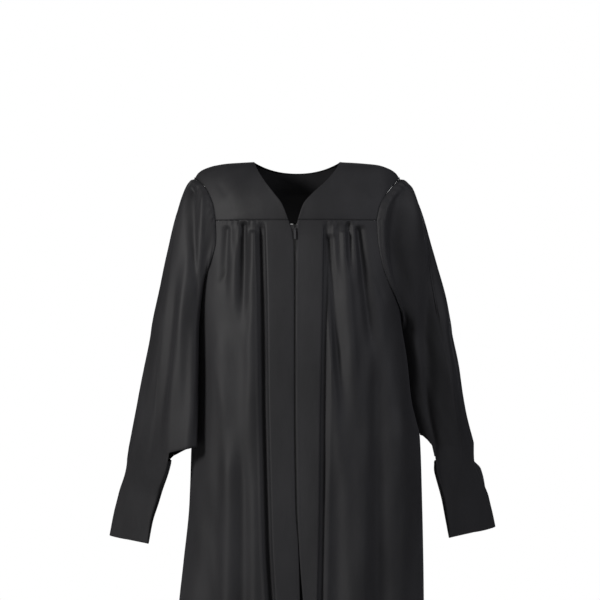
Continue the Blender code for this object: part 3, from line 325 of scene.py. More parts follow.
MORE_FOLDS_RIGHT = [
    Fold(0.145, 0.300, 0.108, 0.112, -0.0022, -0.0012, 0.0045),
    Fold(0.145, 0.260, 0.131, 0.133, 0.0018, 0.0010, 0.0042),
    Fold(0.150, 0.340, 0.150, 0.154, 0.0020, 0.0012, 0.0055),
    Fold(0.400, 1.500, 0.178, 0.180, -0.0016, -0.0045, 0.0110),
    Fold(0.500, 1.500, 0.088, 0.074, -0.0012, -0.0030, 0.0080),
]
MORE_FOLDS_LEFT = [
    Fold(0.145, 0.300, 0.082, 0.090, 0.0022, 0.0012, 0.0045),
    Fold(0.145, 0.270, 0.095, 0.098, -0.0022, -0.0012, 0.0042),
    Fold(0.145, 0.250, 0.112, 0.114, -0.0016, -0.0010, 0.0036),
    Fold(0.500, 1.500, 0.112, 0.114, 0.0018, 0.0045, 0.0110),
    Fold(0.440, 1.500, 0.210, 0.214, 0.0014, 0.0036, 0.0100),
]
MORE_SLEEVE_FOLDS_RIGHT = [
    SleeveFold(0.02, 0.22, 108.0, 126.0, -0.0022, -0.0015, 5.0),
    SleeveFold(0.02, 0.26, 136.0, 158.0, -0.0020, -0.0015, 5.0),
    SleeveFold(0.50, 1.00, 136.0, 132.0, -0.0020, -0.0030, 7.0),
    SleeveFold(0.55, 1.00, 100.0, 98.0, 0.0016, 0.0024, 7.0),
]
MORE_SLEEVE_FOLDS_LEFT = [
    SleeveFold(0.02, 0.20, 86.0, 94.0, -0.0022, -0.0015, 5.0),
    SleeveFold(0.02, 0.28, 112.0, 140.0, -0.0020, -0.0015, 5.0),
    SleeveFold(0.50, 1.00, 132.0, 146.0, -0.0020, -0.0030, 7.0),
    SleeveFold(0.55, 1.00, 82.0, 92.0, 0.0016, 0.0024, 7.0),
]

# The tables by side
FRONT_FOLDS = {"right": FOLDS_RIGHT + MORE_FOLDS_RIGHT, "left": FOLDS_LEFT + MORE_FOLDS_LEFT}
SLEEVE_FOLDS = {
    "right": SLEEVE_FOLDS_RIGHT + MORE_SLEEVE_FOLDS_RIGHT,
    "left": SLEEVE_FOLDS_LEFT + MORE_SLEEVE_FOLDS_LEFT,
}
FRONT_GATHERS = {"right": GATHERS_RIGHT, "left": GATHERS_LEFT}
FRONT_CREASES = {"right": CREASES_RIGHT, "left": CREASES_LEFT}
YOKE_CREASES = {"right": CREASES_YOKE_RIGHT, "left": CREASES_YOKE_LEFT}
SLEEVES = {"right": SLEEVE_RIGHT, "left": SLEEVE_LEFT}
TAILS = {"right": TAIL_RIGHT, "left": TAIL_LEFT}
WRISTS = {"right": WRIST_RIGHT, "left": WRIST_LEFT}

# Seeds of the uneven gathers and waves
FRONT_GATHER_SEED = {"right": 11, "left": 12}
FRONT_WAVE_SEED = {"right": 21, "left": 22}
YOKE_WAVE_SEED = {"right": 31, "left": 32}
HEAD_GATHER_SEED = {"right": 41, "left": 42}
SLEEVE_WAVE_SEED = {"right": 51, "left": 52}
BACK_GATHER_SEED = 13
BACK_WAVE_SEED = 23
BACK_YOKE_WAVE_SEED = 33

# How far the bands lean: the lift of the centre edge and of the outer border, by side
BAND_LEAN = {"right": (-0.0005, 0.0018), "left": (-0.0022, 0.0034)}

# The cloth and how its edges are finished: how far each row goes on beyond the edge, and how deep below
# the cloth
CLOTH = 0.0006
SEAM_TURN = [(0.0001, 0.0003), (0.0001, 0.0012), (0.0, 0.0030)]
HEM_ROLL = [(0.0004, 0.0003), (0.0005, 0.0008), (0.0004, 0.0013), (0.0, 0.0016)]
HEM_DEPTH = 0.0016

# How finely the sheets are divided
YOKE_ROWS = [(turn, SEAM_STRIP) for turn in np.linspace(0.0, 90.0, 47)] + [(90.0, 0.0)]
FRONT_YOKE_COLUMNS = 64
BACK_YOKE_SHOULDER_COLUMNS = 44
BACK_YOKE_NECK_COLUMNS = 30
GATHER_DROPS = np.linspace(0.1403, 0.170, 16)
CHEST_DROPS = np.linspace(0.170, ARMHOLE_DROP, 56)
SKIRT_DROPS = np.linspace(ARMHOLE_DROP, HEM_DROP, 118)
PANEL_DROPS = np.concatenate([GATHER_DROPS[:-1], CHEST_DROPS[:-1], SKIRT_DROPS])
ARMHOLE_DROPS = np.concatenate([[YOKE_DROP], np.linspace(0.146, ARMHOLE_DROP, 34)])
BAND_COLUMNS = 14
PLEAT_STEPS = np.linspace(0.0, 0.024, 21)
PANEL_COLUMNS = 88
BACK_COLUMNS = 168
HEAD_FALLS = np.concatenate([np.linspace(0.0, 0.12, 9)[:-1], np.linspace(0.12, 0.96, 34)])
HEM_SHARES = np.linspace(0.0, 1.0, 46)
BRIDGE_SHARES = (0.2, 0.4, 0.6, 0.8)
TAIL_ROWS = 34
TAIL_CLOSE = ((0.90, 0.0010), (0.68, 0.0019), (0.38, 0.0025), (0.10, 0.0028))

# How far in from their edges the lines of stitching run
HEM_STITCH = 0.022
CENTRE_STITCH = 0.0065
BAND_STITCH_RISE = 0.0002
YOKE_SEAM_STITCH = 0.0022
NECK_STITCH = 0.0060
WRIST_STITCH = 0.008
LIP_STITCH = 0.006
STITCH_PITCH = 0.0029
STITCH_SIZE = (0.00035, 0.00035, 0.0021)

# The zip
ZIP_TOP = 0.150
ZIP_BOTTOM = 0.868
TOOTH_PITCH = 0.0024
TOOTH_OUT = 0.00055
TOOTH_SIZE = (0.0024, 0.0012, 0.0011)
TAPE_DEPTH = 0.0021

# The sizes that the pieces were cut to: width and length, and the area of the cut
FLAT = {
    "front": ((0.44, 1.22), 0.42),
    "back": ((0.86, 1.22), 0.86),
    "front yoke": ((0.24, 0.20), 0.030),
    "back yoke": ((0.50, 0.20), 0.075),
    "sleeve": ((0.50, 0.92), 0.32),
}

# The view and the light
CAMERA = (0.007, -4.0, -0.3215)
VIEW_WIDTH = 1.398
FLOOR_CORNERS = ((-2.6, -2.6, -1.42), (2.6, -2.6, -1.42), (2.6, 2.1, -1.42), (-2.6, 2.1, -1.42))
FLOOR_GREY = (0.62, 0.62, 0.62)
AMBIENT = 0.02
CHEST = (0.0, 0.0, -0.50)
Light = namedtuple("Light", "name place aim size power color")
LIGHTS = [
    Light("key", (-2.9, -2.3, 0.9), CHEST, 0.8, 118.0, (1.0, 0.99, 0.97)),
    Light("fill", (3.2, -1.8, 1.1), (0.1, 0.0, -0.3), 1.1, 42.0, (0.94, 0.94, 1.0)),
    Light("top", (0.9, -0.4, 2.4), (0.1, 0.0, -0.1), 1.2, 8.0, (0.95, 0.96, 1.0)),
    Light("front", (0.5, -3.9, 1.6), CHEST, 1.0, 20.0, (1.0, 1.0, 1.0)),
    Light("back", (0.6, 3.0, 0.6), CHEST, 2.0, 8.0, (1.0, 1.0, 1.0)),
]

# Colours of the surfaces
CLOTH_BLACK = (0.0200, 0.0197, 0.0216)
THREAD_BLACK = (0.016, 0.016, 0.018)
TAPE_BLACK = (0.012, 0.012, 0.013)
LACQUER_BLACK = (0.045, 0.045, 0.048)
# The teeth's own black, made darker than the other blacks as painted shade of the gap between the two front
# edges
TOOTH_BLACK_AND_GAP_SHADE = (0.005, 0.005, 0.005)


def curve(places, values, at):
    """Reads a smooth curve through (place, value) pairs that never swings past them."""
    places = np.asarray(places, float)
    values = np.asarray(values, float)
    steps = np.diff(places)
    rises = np.diff(values) / steps
    slopes = np.zeros(len(values))
    slopes[0] = rises[0]
    slopes[-1] = rises[-1]
    before = rises[:-1]
    after = rises[1:]
    same_way = before * after > 0
    slopes[1:-1][same_way] = 2 * before[same_way] * after[same_way] / (before + after)[same_way]
    at = np.clip(at, places[0], places[-1])
    k = np.clip(np.searchsorted(places, at, side="right") - 1, 0, len(steps) - 1)
    t = (at - places[k]) / steps[k]
    start = (1 + 2 * t) * (1 - t) ** 2 * values[k] + t * (1 - t) ** 2 * steps[k] * slopes[k]
    end = t * t * (3 - 2 * t) * values[k + 1] - t * t * (1 - t) * steps[k] * slopes[k + 1]
    return start + end


def read(table, column, at, place="drop"):
    """Reads one column of a table at a drop, or at another place."""
    return curve([getattr(row, place) for row in table], [getattr(row, column) for row in table], at)


def signed_power(value, power):
    return np.sign(value) * np.abs(value) ** power


def ramp(value):
    """Rises smoothly from 0 to 1."""
    value = np.clip(value, 0.0, 1.0)
    return value * value * (3 - 2 * value)


def turn_at(side, across, drop):
    """The turn round the body's section at a distance from the centre: 0 there, 90 degrees at the side."""
    share = np.clip(np.abs(across) / read(BODY, side, drop), 0.0, 1.0)
    return np.arcsin(share ** (ROUNDNESS / 2))


def body_depth(side, across, drop, face):
    """How far the body's section stands from the side line, for face "front" or "back"."""
    return read(BODY, face, drop) * np.cos(turn_at(side, across, drop)) ** (2 / ROUNDNESS)


def body_points(side, turn, drop, face):
    """Points of the body's smooth section at turns from its centre to its side."""
    toward = -1 if face == "front" else 1
    across = SIDES[side] * read(BODY, side, drop) * np.sin(turn) ** (2 / ROUNDNESS)
    deep = toward * read(BODY, face, drop) * np.cos(turn) ** (2 / ROUNDNESS)
    return np.stack([across, deep, -drop + 0 * across], axis=-1)


def armhole_turn(side, drop):
    """Where a panel ends at the armhole, and at the side seam below it."""
    share = read(ARMHOLE_PANEL, side, drop)
    return np.where(drop < ARMHOLE_DROP, np.arcsin(np.clip(share, 0, 1) ** (ROUNDNESS / 2)), math.pi / 2)


def outward(grid, sign, closed=False):
    """Unit normals of a grid of points whose rows run down the cloth."""
    down = np.gradient(grid, axis=0)
    if closed:
        along = np.roll(grid, -1, axis=1) - np.roll(grid, 1, axis=1)
    else:
        along = np.gradient(grid, axis=1)
    normal = sign * np.cross(down, along)
    return normal / np.maximum(np.linalg.norm(normal, axis=-1, keepdims=True), 1e-12)


def fold_heights(folds, across, drop):
    """How far the folds lift the cloth at a place."""
    height = np.zeros_like(across)
    for fold in folds:
        run = np.clip((drop - fold.top) / (fold.bottom - fold.top), 0, 1)
        middle = fold.across_top + (fold.across_bottom - fold.across_top) * run
        crest = fold.height_top + (fold.height_bottom - fold.height_top) * run
        lead = 0.012 if fold.top <= YOKE_DROP + 0.03 else 0.3 * min(fold.bottom - fold.top, 0.4)
        grows = ramp((drop - fold.top) / lead)
        fades = ramp((fold.bottom - drop) / (0.45 * (fold.bottom - fold.top)))
        width = fold.width * (1 + 0.7 * run)
        height += crest * grows * fades * np.exp(-(((across - middle) / width) ** 2))
    return height


def crease_heights(creases, across, drop):
    """How far the slanting creases lift the cloth at a place."""
    height = np.zeros_like(across)
    for crease in creases:
        way = np.array([crease.to_across - crease.across, crease.to_drop - crease.drop])
        length = np.hypot(way[0], way[1])
        way /= length
        along = (across - crease.across) * way[0] + (drop - crease.drop) * way[1]
        aside = (across - crease.across) * way[1] - (drop - crease.drop) * way[0]
        taper = ramp(along / (0.4 * length)) * ramp((length - along) / (0.4 * length))
        height += crease.height * taper * np.exp(-((aside / crease.width) ** 2))
    return height


def gather_heights(gathers, across, below, seed):
    """Puckers that start at a seam and fade; across runs along the seam and below away from it."""
    chance = random.Random(seed)
    height = np.zeros_like(across)
    for gather in gathers:
        step = (gather.end - gather.start) / gather.count
        for number in range(gather.count):
            middle = gather.start + step * (number + 0.5 + chance.uniform(-0.22, 0.22))
            tall = gather.height * chance.uniform(0.55, 1.25) * (1 if number % 2 else -1)
            length = gather.length * chance.uniform(0.5, 1.5)
            drift = step * chance.uniform(-0.8, 0.8)
            width = step * chance.uniform(0.34, 0.50)
            run = np.clip(below / length, 0.0, 1.0)
            off = (across - middle - drift * run) / (width * (1 + 0.6 * run))
            height += tall * (1 - ramp(run)) * ramp(below / 0.0030) * np.exp(-(off ** 2))
    return height


def soft_waves(across, down, seed, size, height):
    """A faint unevenness of hanging cloth, longer down than across."""
    chance = random.Random(seed)
    waves = np.zeros_like(across)
    for _ in range(10):
        wide = size * chance.uniform(0.6, 1.8)
        tall = wide * chance.uniform(2.5, 6.0)
        waves += np.sin(2 * math.pi * (across / wide + down / tall + chance.random())) * chance.uniform(0.4, 1.0)
    return height * waves / 3.0


def front_panel(side):
    """The sheet of a front panel: rows from yoke to hem, columns from centre edge to side seam."""
    sign = SIDES[side]
    rows = []
    lifts = []
    for drop in PANEL_DROPS:
        edge = float(read(CENTRE, side + "_edge", drop))
        border = float(read(CENTRE, side + "_band", drop))
        across = np.append(np.linspace(edge, border, BAND_COLUMNS + 1), border + sign * PLEAT_STEPS[1:])
        band = np.stack([across, -body_depth(side, across, drop, "front"), np.full_like(across, -drop)], axis=-1)
        first = turn_at(side, across[-1], drop)
        last = float(armhole_turn(side, drop)) - SEAM_GAP
        turns = np.linspace(first, last, PANEL_COLUMNS + 1)[1:]
        rows.append(np.concatenate([band, body_points(side, turns, np.full_like(turns, drop), "front")]))
        lift = fold_heights(FRONT_FOLDS[side], np.abs(rows[-1][:, 0]), drop)
        lift[:BAND_COLUMNS] = 0.0
        depth = float(read(PLEAT, side, drop)) * float(ramp((drop - YOKE_DROP) / 0.02))
        pleat = BAND_COLUMNS + np.arange(len(PLEAT_STEPS))
        shape = curve(PLEAT_STATIONS, PLEAT_SHAPE, PLEAT_STEPS)
        lift[pleat] = lift[pleat] * np.linspace(0, 1, len(pleat)) + depth * shape
        lifts.append(lift)
    grid = np.array(rows)
    lifts = np.array(lifts)
    across = np.abs(grid[..., 0])
    drop = -grid[..., 2]
    beyond = np.arange(grid.shape[1])[None, :] > BAND_COLUMNS
    lifts += beyond * gather_heights(FRONT_GATHERS[side], across, drop - YOKE_DROP, FRONT_GATHER_SEED[side])
    lifts += crease_heights(FRONT_CREASES[side], across, drop)
    lifts += beyond * soft_waves(across, drop, FRONT_WAVE_SEED[side], 0.060, 0.0007)
    lifts *= ramp((math.pi / 2 - turn_at(side, grid[..., 0], drop)) / 0.35)
    lean = np.interp(np.arange(BAND_COLUMNS + 3), [0, BAND_COLUMNS, BAND_COLUMNS + 2], [*BAND_LEAN[side], 0.0])
    lifts[:, :BAND_COLUMNS + 3] += lean * ramp((drop[:, :BAND_COLUMNS + 3] - YOKE_DROP) / 0.05)
    normal = outward(grid, sign)
    grid = grid + normal * lifts[..., None]
    return grid, outward(grid, sign)


def back_panel():
    """The sheet of the back: rows from the yoke to the hem, columns from the right side seam to the left."""
    half = BACK_COLUMNS // 2
    rows = []
    for drop in PANEL_DROPS:
        halves = []
        for side in ("right", "left"):
            last = float(armhole_turn(side, drop)) - SEAM_GAP
            turns = np.linspace(0.0, last, half + 1)
            halves.append(body_points(side, turns, np.full_like(turns, drop), "back"))
        rows.append(np.concatenate([halves[0][::-1], halves[1][1:]]))
    grid = np.array(rows)
    across = grid[..., 0]
    drop = -grid[..., 2]
    lift = fold_heights(FOLDS_BACK, across, drop)
    lift += gather_heights(GATHERS_BACK, across, drop - YOKE_DROP, BACK_GATHER_SEED)
    lift += crease_heights(CREASES_BACK, across, drop)
    lift += soft_waves(across, drop, BACK_WAVE_SEED, 0.070, 0.0008)
    width = np.abs(across).max(axis=1, keepdims=True)
    lift *= ramp((1 - np.abs(across) / width) / 0.06)
    grid = grid + outward(grid, -1) * lift[..., None]
    return grid, outward(grid, -1)


def yoke_point(side, across, turn, face, strip=SEAM_STRIP):
    """A point of the yokes: turn 0 at the chest seam, 90 degrees at the strip by the shoulder."""
    ridge = read(RIDGE, "drop", np.abs(across), place="across")
    toward = -1 if face == "front" else 1
    seam = toward * body_depth(side, across, YOKE_DROP, face)
    rise = np.sin(turn) ** (2 / YOKE_ROUNDNESS)
    drop = YOKE_DROP - SEAM_GAP - rise * (YOKE_DROP - SEAM_GAP - ridge)
    start = RIDGE_Y + toward * (strip + SEAM_GAP / 2)
    deep = start + (seam - start) * np.cos(turn) ** (2 / YOKE_ROUNDNESS)
    return across, deep, drop


def edge_on_yoke(table, side, turn, face, sign):
    """The distance from the centre where an edge that is given by drop crosses a row of the yoke."""
    across = abs(getattr(table[-1], side))
    for _ in range(30):
        drop = yoke_point(side, sign * across, turn, face)[2]
        across = 0.5 * across + 0.5 * abs(float(read(table, side, drop)))
    return across


def front_yoke(side):
    """The sheet of a front yoke: rows from shoulder to chest, columns from neck to armhole."""
    sign = SIDES[side]
    rows = []
    for degrees, strip in reversed(YOKE_ROWS):
        turn = math.radians(degrees)
        inner = edge_on_yoke(NECK, side, turn, "front", sign)
        outer = edge_on_yoke(ARMHOLE_YOKE, side, turn, "front", sign)
        across = sign * np.linspace(inner, outer, FRONT_YOKE_COLUMNS + 1)
        x, y, drop = yoke_point(side, across, turn, "front", strip)
        rows.append(np.stack([x, y, -drop], axis=-1))
    grid = np.array(rows)
    lift = crease_heights(YOKE_CREASES[side], np.abs(grid[..., 0]), -grid[..., 2])
    lift += soft_waves(grid[..., 0], grid[..., 2], YOKE_WAVE_SEED[side], 0.090, 0.0005)
    grid = grid + outward(grid, sign) * (lift * inside_edges(grid.shape))[..., None]
    return grid, outward(grid, sign)


def inside_edges(shape, share=0.06):
    """1 inside a sheet, falling to 0 at its four edges."""
    down = np.linspace(0, 1, shape[0])[:, None]
    along = np.linspace(0, 1, shape[1])[None, :]
    return ramp(np.minimum(down, 1 - down) / share) * ramp(np.minimum(along, 1 - along) / share)


def back_yoke():
    """The sheet of the back yoke: rows from shoulders and neck to seam, columns from right to left."""
    neck_share = NECK_HALF_WIDTH / SHOULDER_TIP
    shoulder = np.linspace(neck_share, 1.0, BACK_YOKE_SHOULDER_COLUMNS)
    neck = np.linspace(0.0, neck_share, BACK_YOKE_NECK_COLUMNS + 1)[:-1]
    shares = np.concatenate([neck, shoulder])
    rows = []
    for degrees, strip in reversed(YOKE_ROWS):
        turn = math.radians(degrees)
        halves = []
        for side in ("right", "left"):
            sign = SIDES[side]
            outer = edge_on_yoke(ARMHOLE_YOKE, side, turn, "back", sign)
            across = outer * shares
            inside = np.clip(across / (outer * neck_share), 0.0, 1.0)
            ridge = read(RIDGE, "drop", across, place="across")
            edge_drop = BACK_NECK_DROP * (1 - inside ** 2.2)
            top_rise = (YOKE_DROP - np.maximum(edge_drop, ridge)) / (YOKE_DROP - ridge)
            round_turn = np.arcsin(np.clip(top_rise, 0, 1) ** (YOKE_ROUNDNESS / 2))
            top_turn = np.where(inside < 1.0, round_turn, math.pi / 2)
            x, y, drop = yoke_point(side, sign * across, turn * top_turn / (math.pi / 2), "back", strip)
            halves.append(np.stack([x, y, -drop], axis=-1))
        rows.append(np.concatenate([halves[0][::-1], halves[1][1:]]))
    grid = np.array(rows)
    lift = crease_heights(CREASES_YOKE_BACK, grid[..., 0], -grid[..., 2])
    lift += soft_waves(grid[..., 0], grid[..., 2], BACK_YOKE_WAVE_SEED, 0.090, 0.0005)
    grid = grid + outward(grid, -1) * (lift * inside_edges(grid.shape))[..., None]
    return grid, outward(grid, -1)


def armhole_half(side, face):
    """Points of half the armhole, from shoulder tip to underarm, and the way the cloth leaves there."""
    sign = SIDES[side]
    points = []
    for degrees, strip in reversed(YOKE_ROWS):
        turn = math.radians(degrees)
        outer = edge_on_yoke(ARMHOLE_YOKE, side, turn, face, sign)
        pair = []
        for across in (outer - SEAM_STRIP, outer):
            x, y, drop = yoke_point(side, np.array(sign * across), turn, face, strip)
            pair.append(np.array([float(x), float(y), -float(drop)]))
        points.append(pair)
    for drop in ARMHOLE_DROPS[1:]:
        last = float(armhole_turn(side, drop))
        points.append([body_points(side, np.array(turn), np.array(drop), face) for turn in (last - 0.03, last)])
    edge = np.array([pair[1] for pair in points])
    leave = np.array([pair[1] - pair[0] for pair in points])
    return edge, leave / np.linalg.norm(leave, axis=1, keepdims=True)


def armhole_loop(side):
    """The whole armhole from the shoulder tip through the front: points, ways out, shares of the way."""
    edges = []
    leaves = []
    shares = []
    for face in ("front", "back"):
        edge, leave = armhole_half(side, face)
        length = np.append(0.0, np.cumsum(np.linalg.norm(np.diff(edge, axis=0), axis=1)))
        edges.append(edge)
        leaves.append(leave)
        shares.append(0.5 * length / length[-1])
    edge = np.concatenate([edges[0], edges[1][-2:0:-1]])
    leave = np.concatenate([leaves[0], leaves[1][-2:0:-1]])
    share = np.concatenate([shares[0], 1 - shares[1][-2:0:-1]])
    edge[0, 1] = RIDGE_Y
    return edge, leave, share


def oval(side, around, front, rear, outer, inner, squareness, drop):
    """A section of a sleeve: around is 0 at the rear end, 90 degrees outside, 180 at the front."""
    front = np.asarray(front)
    rear = np.asarray(rear)
    centre = (front + rear) / 2
    reach = (rear - front) / 2
    length = np.hypot(reach[0], reach[1])
    across = np.array([reach[1], -reach[0]]) / length
    along = signed_power(np.cos(around), 2 / squareness)
    aside = signed_power(np.sin(around), 2 / squareness) * np.where(np.sin(around) > 0, outer, inner)
    x = centre[0] + reach[0] * along + across[0] * aside
    y = centre[1] + reach[1] * along + across[1] * aside
    return np.stack([SIDES[side] * x, y, -drop + 0 * x], axis=-1)


def sleeve_section(side, around, drop):
    """A section of the sleeve proper at one drop for each point."""
    values = [read(SLEEVES[side], column, drop) for column in SleeveSection._fields[1:]]
    return oval(side, around, values[0:2], values[2:4], values[4], values[5], values[6], drop)


def tail_around(around, cut, inner_cut):
    """Turns places round the whole section into places round the tail, which lacks its front part."""
    limit = math.radians(150)
    turned_to = around % (2 * math.pi)
    starts = []
    flanks = []
    for share in (cut, inner_cut):
        middle = (1 + share) / 2
        half = (1 - share) / 2
        starts.append(math.acos(middle + half * math.cos(limit)))
        flanks.append(np.arccos(np.clip((np.cos(turned_to) - middle) / half, -1, 1)))
    flank = np.where(turned_to > math.pi, 2 * math.pi - flanks[1], flanks[0])
    last = 2 * math.pi - starts[1]
    inside = limit + (turned_to - starts[0]) / (last - starts[0]) * (2 * math.pi - 2 * limit)
    return np.where((turned_to > starts[0]) & (turned_to < last), inside, flank)


def sleeve_lift(folds, falls, degrees):
    """How far the folds of a sleeve lift its cloth."""
    lift = np.zeros((falls.shape[0], degrees.shape[1]))
    for fold in folds:
        run = np.clip((falls - fold.top) / (fold.bottom - fold.top), 0, 1)
        middle = fold.around_top + (fold.around_bottom - fold.around_top) * run
        crest = fold.height_top + (fold.height_bottom - fold.height_top) * run
        lead = 0.05 if fold.top < 0.1 else 0.3 * (fold.bottom - fold.top)
        grows = ramp((falls - fold.top) / lead)
        fades = ramp((fold.bottom + 0.12 - falls) / (0.4 * (fold.bottom - fold.top) + 0.12))
        off = (degrees - middle + 180) % 360 - 180
        lift += crest * grows * fades * np.exp(-((off / fold.width) ** 2))
    return lift


def sleeve(side):
    """The sheet of a sleeve down to the tail's bottom, with its rows of hem and lip and its cut columns."""
    sign = SIDES[side]
    wrist = WRISTS[side]
    tail = TAILS[side]
    edge, leave, share = armhole_loop(side)
    spread = share + HEAD_FULLNESS[side] * np.sin(2 * math.pi * share) / (2 * math.pi)
    underarm = math.radians(UNDERARM_TURN[side]) * (1 - np.cos(2 * math.pi * share)) / 2
    around = math.pi / 2 + 2 * math.pi * spread + underarm
    top = np.cos(math.pi * share) ** 2
    leave[:, 1] = -HEAD_SPREAD * np.tanh(np.sin(2 * math.pi * share) / 0.15)
    lowest = (1 - top[:, None]) ** 6
    aside = (1 - lowest) * np.array([sign * FLANK_WAY[0], 0.0, FLANK_WAY[1]])
    aside = aside + lowest * np.array([sign * UNDERARM_WAY[side][0], 0.0, UNDERARM_WAY[side][1]])
    way = top[:, None] * leave + (1 - top[:, None]) * aside
    way /= np.linalg.norm(way, axis=1, keepdims=True)
    start = edge + way * SEAM_STRIP
    end = sleeve_section(side, around, np.full_like(around, SLEEVE_DROP))
    below = sleeve_section(side, around, np.full_like(around, SLEEVE_DROP + 0.03))
    downward = (below - end) / np.linalg.norm(below - end, axis=1, keepdims=True)
    chord = np.linalg.norm(end - start, axis=1, keepdims=True)
    push = 0.035 + 0.115 * top[:, None] ** 3
    swell = np.clip(np.cos(around - math.pi / 4), 0, 1)[:, None] * np.array([sign * HEAD_SWELL[side], 0.0, 0.0])
    rows = [edge + way * (SEAM_GAP * 1.2)]
    falls = [0.0]
    for t in HEAD_FALLS:
        here = (1 + 2 * t) * (1 - t) ** 2 * start + t * (1 - t) ** 2 * push * way
        there = t * t * (3 - 2 * t) * end - t * t * (1 - t) * 0.9 * chord * downward
        rows.append(here + there + swell * math.sin(math.pi * t ** SWELL_HIGH[side]))
        falls.append(t * SLEEVE_DROP / FALL_LENGTH)
    along = np.cos(around)
    inner = np.sin(around) < 0
    side_share = np.clip((1 + along) / (1 + wrist.cut), 0, 1)
    inner_share = np.clip((1 + along) / (1 + wrist.inner_cut), 0, 1) ** 2
    hem = wrist.front_drop + (wrist.side_drop - wrist.front_drop) * side_share
    inner_hem = wrist.front_drop + (wrist.inner_drop - wrist.front_drop) * inner_share
    inner_hem = np.where(along > wrist.inner_cut, wrist.side_drop, inner_hem)
    hem = np.where(inner, inner_hem, hem)
    for part in HEM_SHARES:
        rows.append(sleeve_section(side, around, SLEEVE_DROP + part * (hem - SLEEVE_DROP)))
        falls.append((SLEEVE_DROP + part * (wrist.side_drop - SLEEVE_DROP)) / FALL_LENGTH)
    hem_row = len(rows) - 1
    lip_row = hem_row + len(BRIDGE_SHARES) + 1
    cut_away = along < np.where(inner, wrist.inner_cut, wrist.cut)
    on_tail = tail_around(around, wrist.cut, wrist.inner_cut)
    kept = np.flatnonzero(~cut_away)
    lost = np.flatnonzero(cut_away)
    steps = np.arange(len(tail))
    for at in np.linspace(0.0, len(tail) - 1.0, TAIL_ROWS):
        row = Tail(*[float(curve(steps, [getattr(r, column) for r in tail], at)) for column in Tail._fields])
        drop = (row.front_drop + row.rear_drop) / 2 + (row.rear_drop - row.front_drop) / 2 * np.cos(on_tail)
        ends = (row.front_x, row.front_y), (row.rear_x, row.rear_y)
        shape = oval(side, on_tail, *ends, row.bulge, row.bulge, row.squareness, drop)
        follow = 1 - ramp((drop - wrist.side_drop) / np.where(inner, FOLLOW_INNER, FOLLOW_OUTER))
        shift = follow[:, None] * (sleeve_section(side, around, drop) - shape)
        for axis in range(3):
            shift[lost, axis] = np.interp(lost, kept, shift[kept, axis])
        rows.append(shape + shift)
        falls.append(1.0 + (row.front_drop - wrist.side_drop) / FALL_LENGTH)
        if at == 0.0:
            first = rows.pop()
            last_fall = falls.pop()
            for part in (*BRIDGE_SHARES, 1.0):
                rows.append(rows[hem_row] + part * (first - rows[hem_row]))
                falls.append(falls[hem_row] + part * (last_fall - falls[hem_row]))
    for factor, extra in TAIL_CLOSE:
        slant = (row.rear_drop - row.front_drop) / 2
        drop = (row.front_drop + row.rear_drop) / 2 + slant * np.cos(on_tail) + extra
        rows.append(oval(side, on_tail, *ends, row.bulge * factor, row.bulge * factor, row.squareness, drop))
        falls.append(falls[-1])
    grid = np.array(rows)
    falls = np.array(falls)[:, None]
    degrees = np.degrees(around)[None, :]
    lift = sleeve_lift(SLEEVE_FOLDS[side], falls, degrees)
    lengths = falls * FALL_LENGTH + 0.0 * degrees
    round_tip = np.where(share > 0.5, share - 1.0, share)[None, :] + 0.0 * falls
    lift += gather_heights(GATHERS_HEAD, round_tip, lengths, HEAD_GATHER_SEED[side])
    girth = np.radians(degrees) * SLEEVE_RADIUS + 0.0 * falls
    lift += soft_waves(girth, lengths, SLEEVE_WAVE_SEED[side], 0.050, 0.0007)
    lift[0] = 0.0
    lift[1] = 0.0
    thrice = np.tile(cut_away.astype(float), 3)
    near = np.convolve(thrice, np.ones(15) / 15, mode="same")[len(cut_away):-len(cut_away)]
    near = ramp(near * 2)[None, :]
    below = -grid[..., 2] - wrist.side_drop
    slow = 0.15 + 0.85 * (1 - ramp(below / 0.15))
    fast = 0.30 - 0.15 * ramp(below / 0.15)
    tail_part = near * fast + (1 - near) * slow
    bridge = np.array([0.0] * (hem_row + 1) + list(BRIDGE_SHARES) + [1.0] * (len(grid) - lip_row))[:, None]
    lift *= 1 - bridge * (1 - tail_part)
    lift[-len(TAIL_CLOSE) - 1:] *= np.linspace(0.6, 0.0, len(TAIL_CLOSE) + 1)[:, None]
    grid = grid + outward(grid, -sign, closed=True) * lift[..., None]
    return grid, outward(grid, -sign, closed=True), hem_row, lip_row, cut_away


def turned(grid, normal, edge, profile, back=0):
    """Adds rows or columns that turn an edge in and run back inside over some of the sheet's own."""
    swap = edge in ("first column", "last column")
    if swap:
        grid = grid.transpose(1, 0, 2)
        normal = normal.transpose(1, 0, 2)
    first = edge.startswith("first")
    if first:
        grid = grid[::-1]
        normal = normal[::-1]
    out = grid[-1] - grid[-2]
    out -= (out * normal[-1]).sum(axis=-1, keepdims=True) * normal[-1]
    out /= np.maximum(np.linalg.norm(out, axis=-1, keepdims=True), 1e-12)
    added = [grid[-1] + out * along - normal[-1] * deep for along, deep in profile]
    added += [grid[-1 - k] - normal[-1 - k] * HEM_DEPTH for k in range(1, back + 1)]
    grid = np.concatenate([grid, added])
    normal = np.concatenate([normal, [normal[-1]] * len(added)])
    if first:
        grid = grid[::-1]
        normal = normal[::-1]
    if swap:
        grid = grid.transpose(1, 0, 2)
        normal = normal.transpose(1, 0, 2)
    return grid, normal


def edged(grid, normal, *turns):
    """A sheet with its edges turned in by turns, each of which is an edge, a profile and its rows back."""
    for edge, profile, back in turns:
        grid, normal = turned(grid, normal, edge, profile, back)
    return grid


def from_side(grid, normal):
    """A sheet and its normals with the first column as the last row."""
    return grid.transpose(1, 0, 2)[::-1], normal.transpose(1, 0, 2)[::-1]


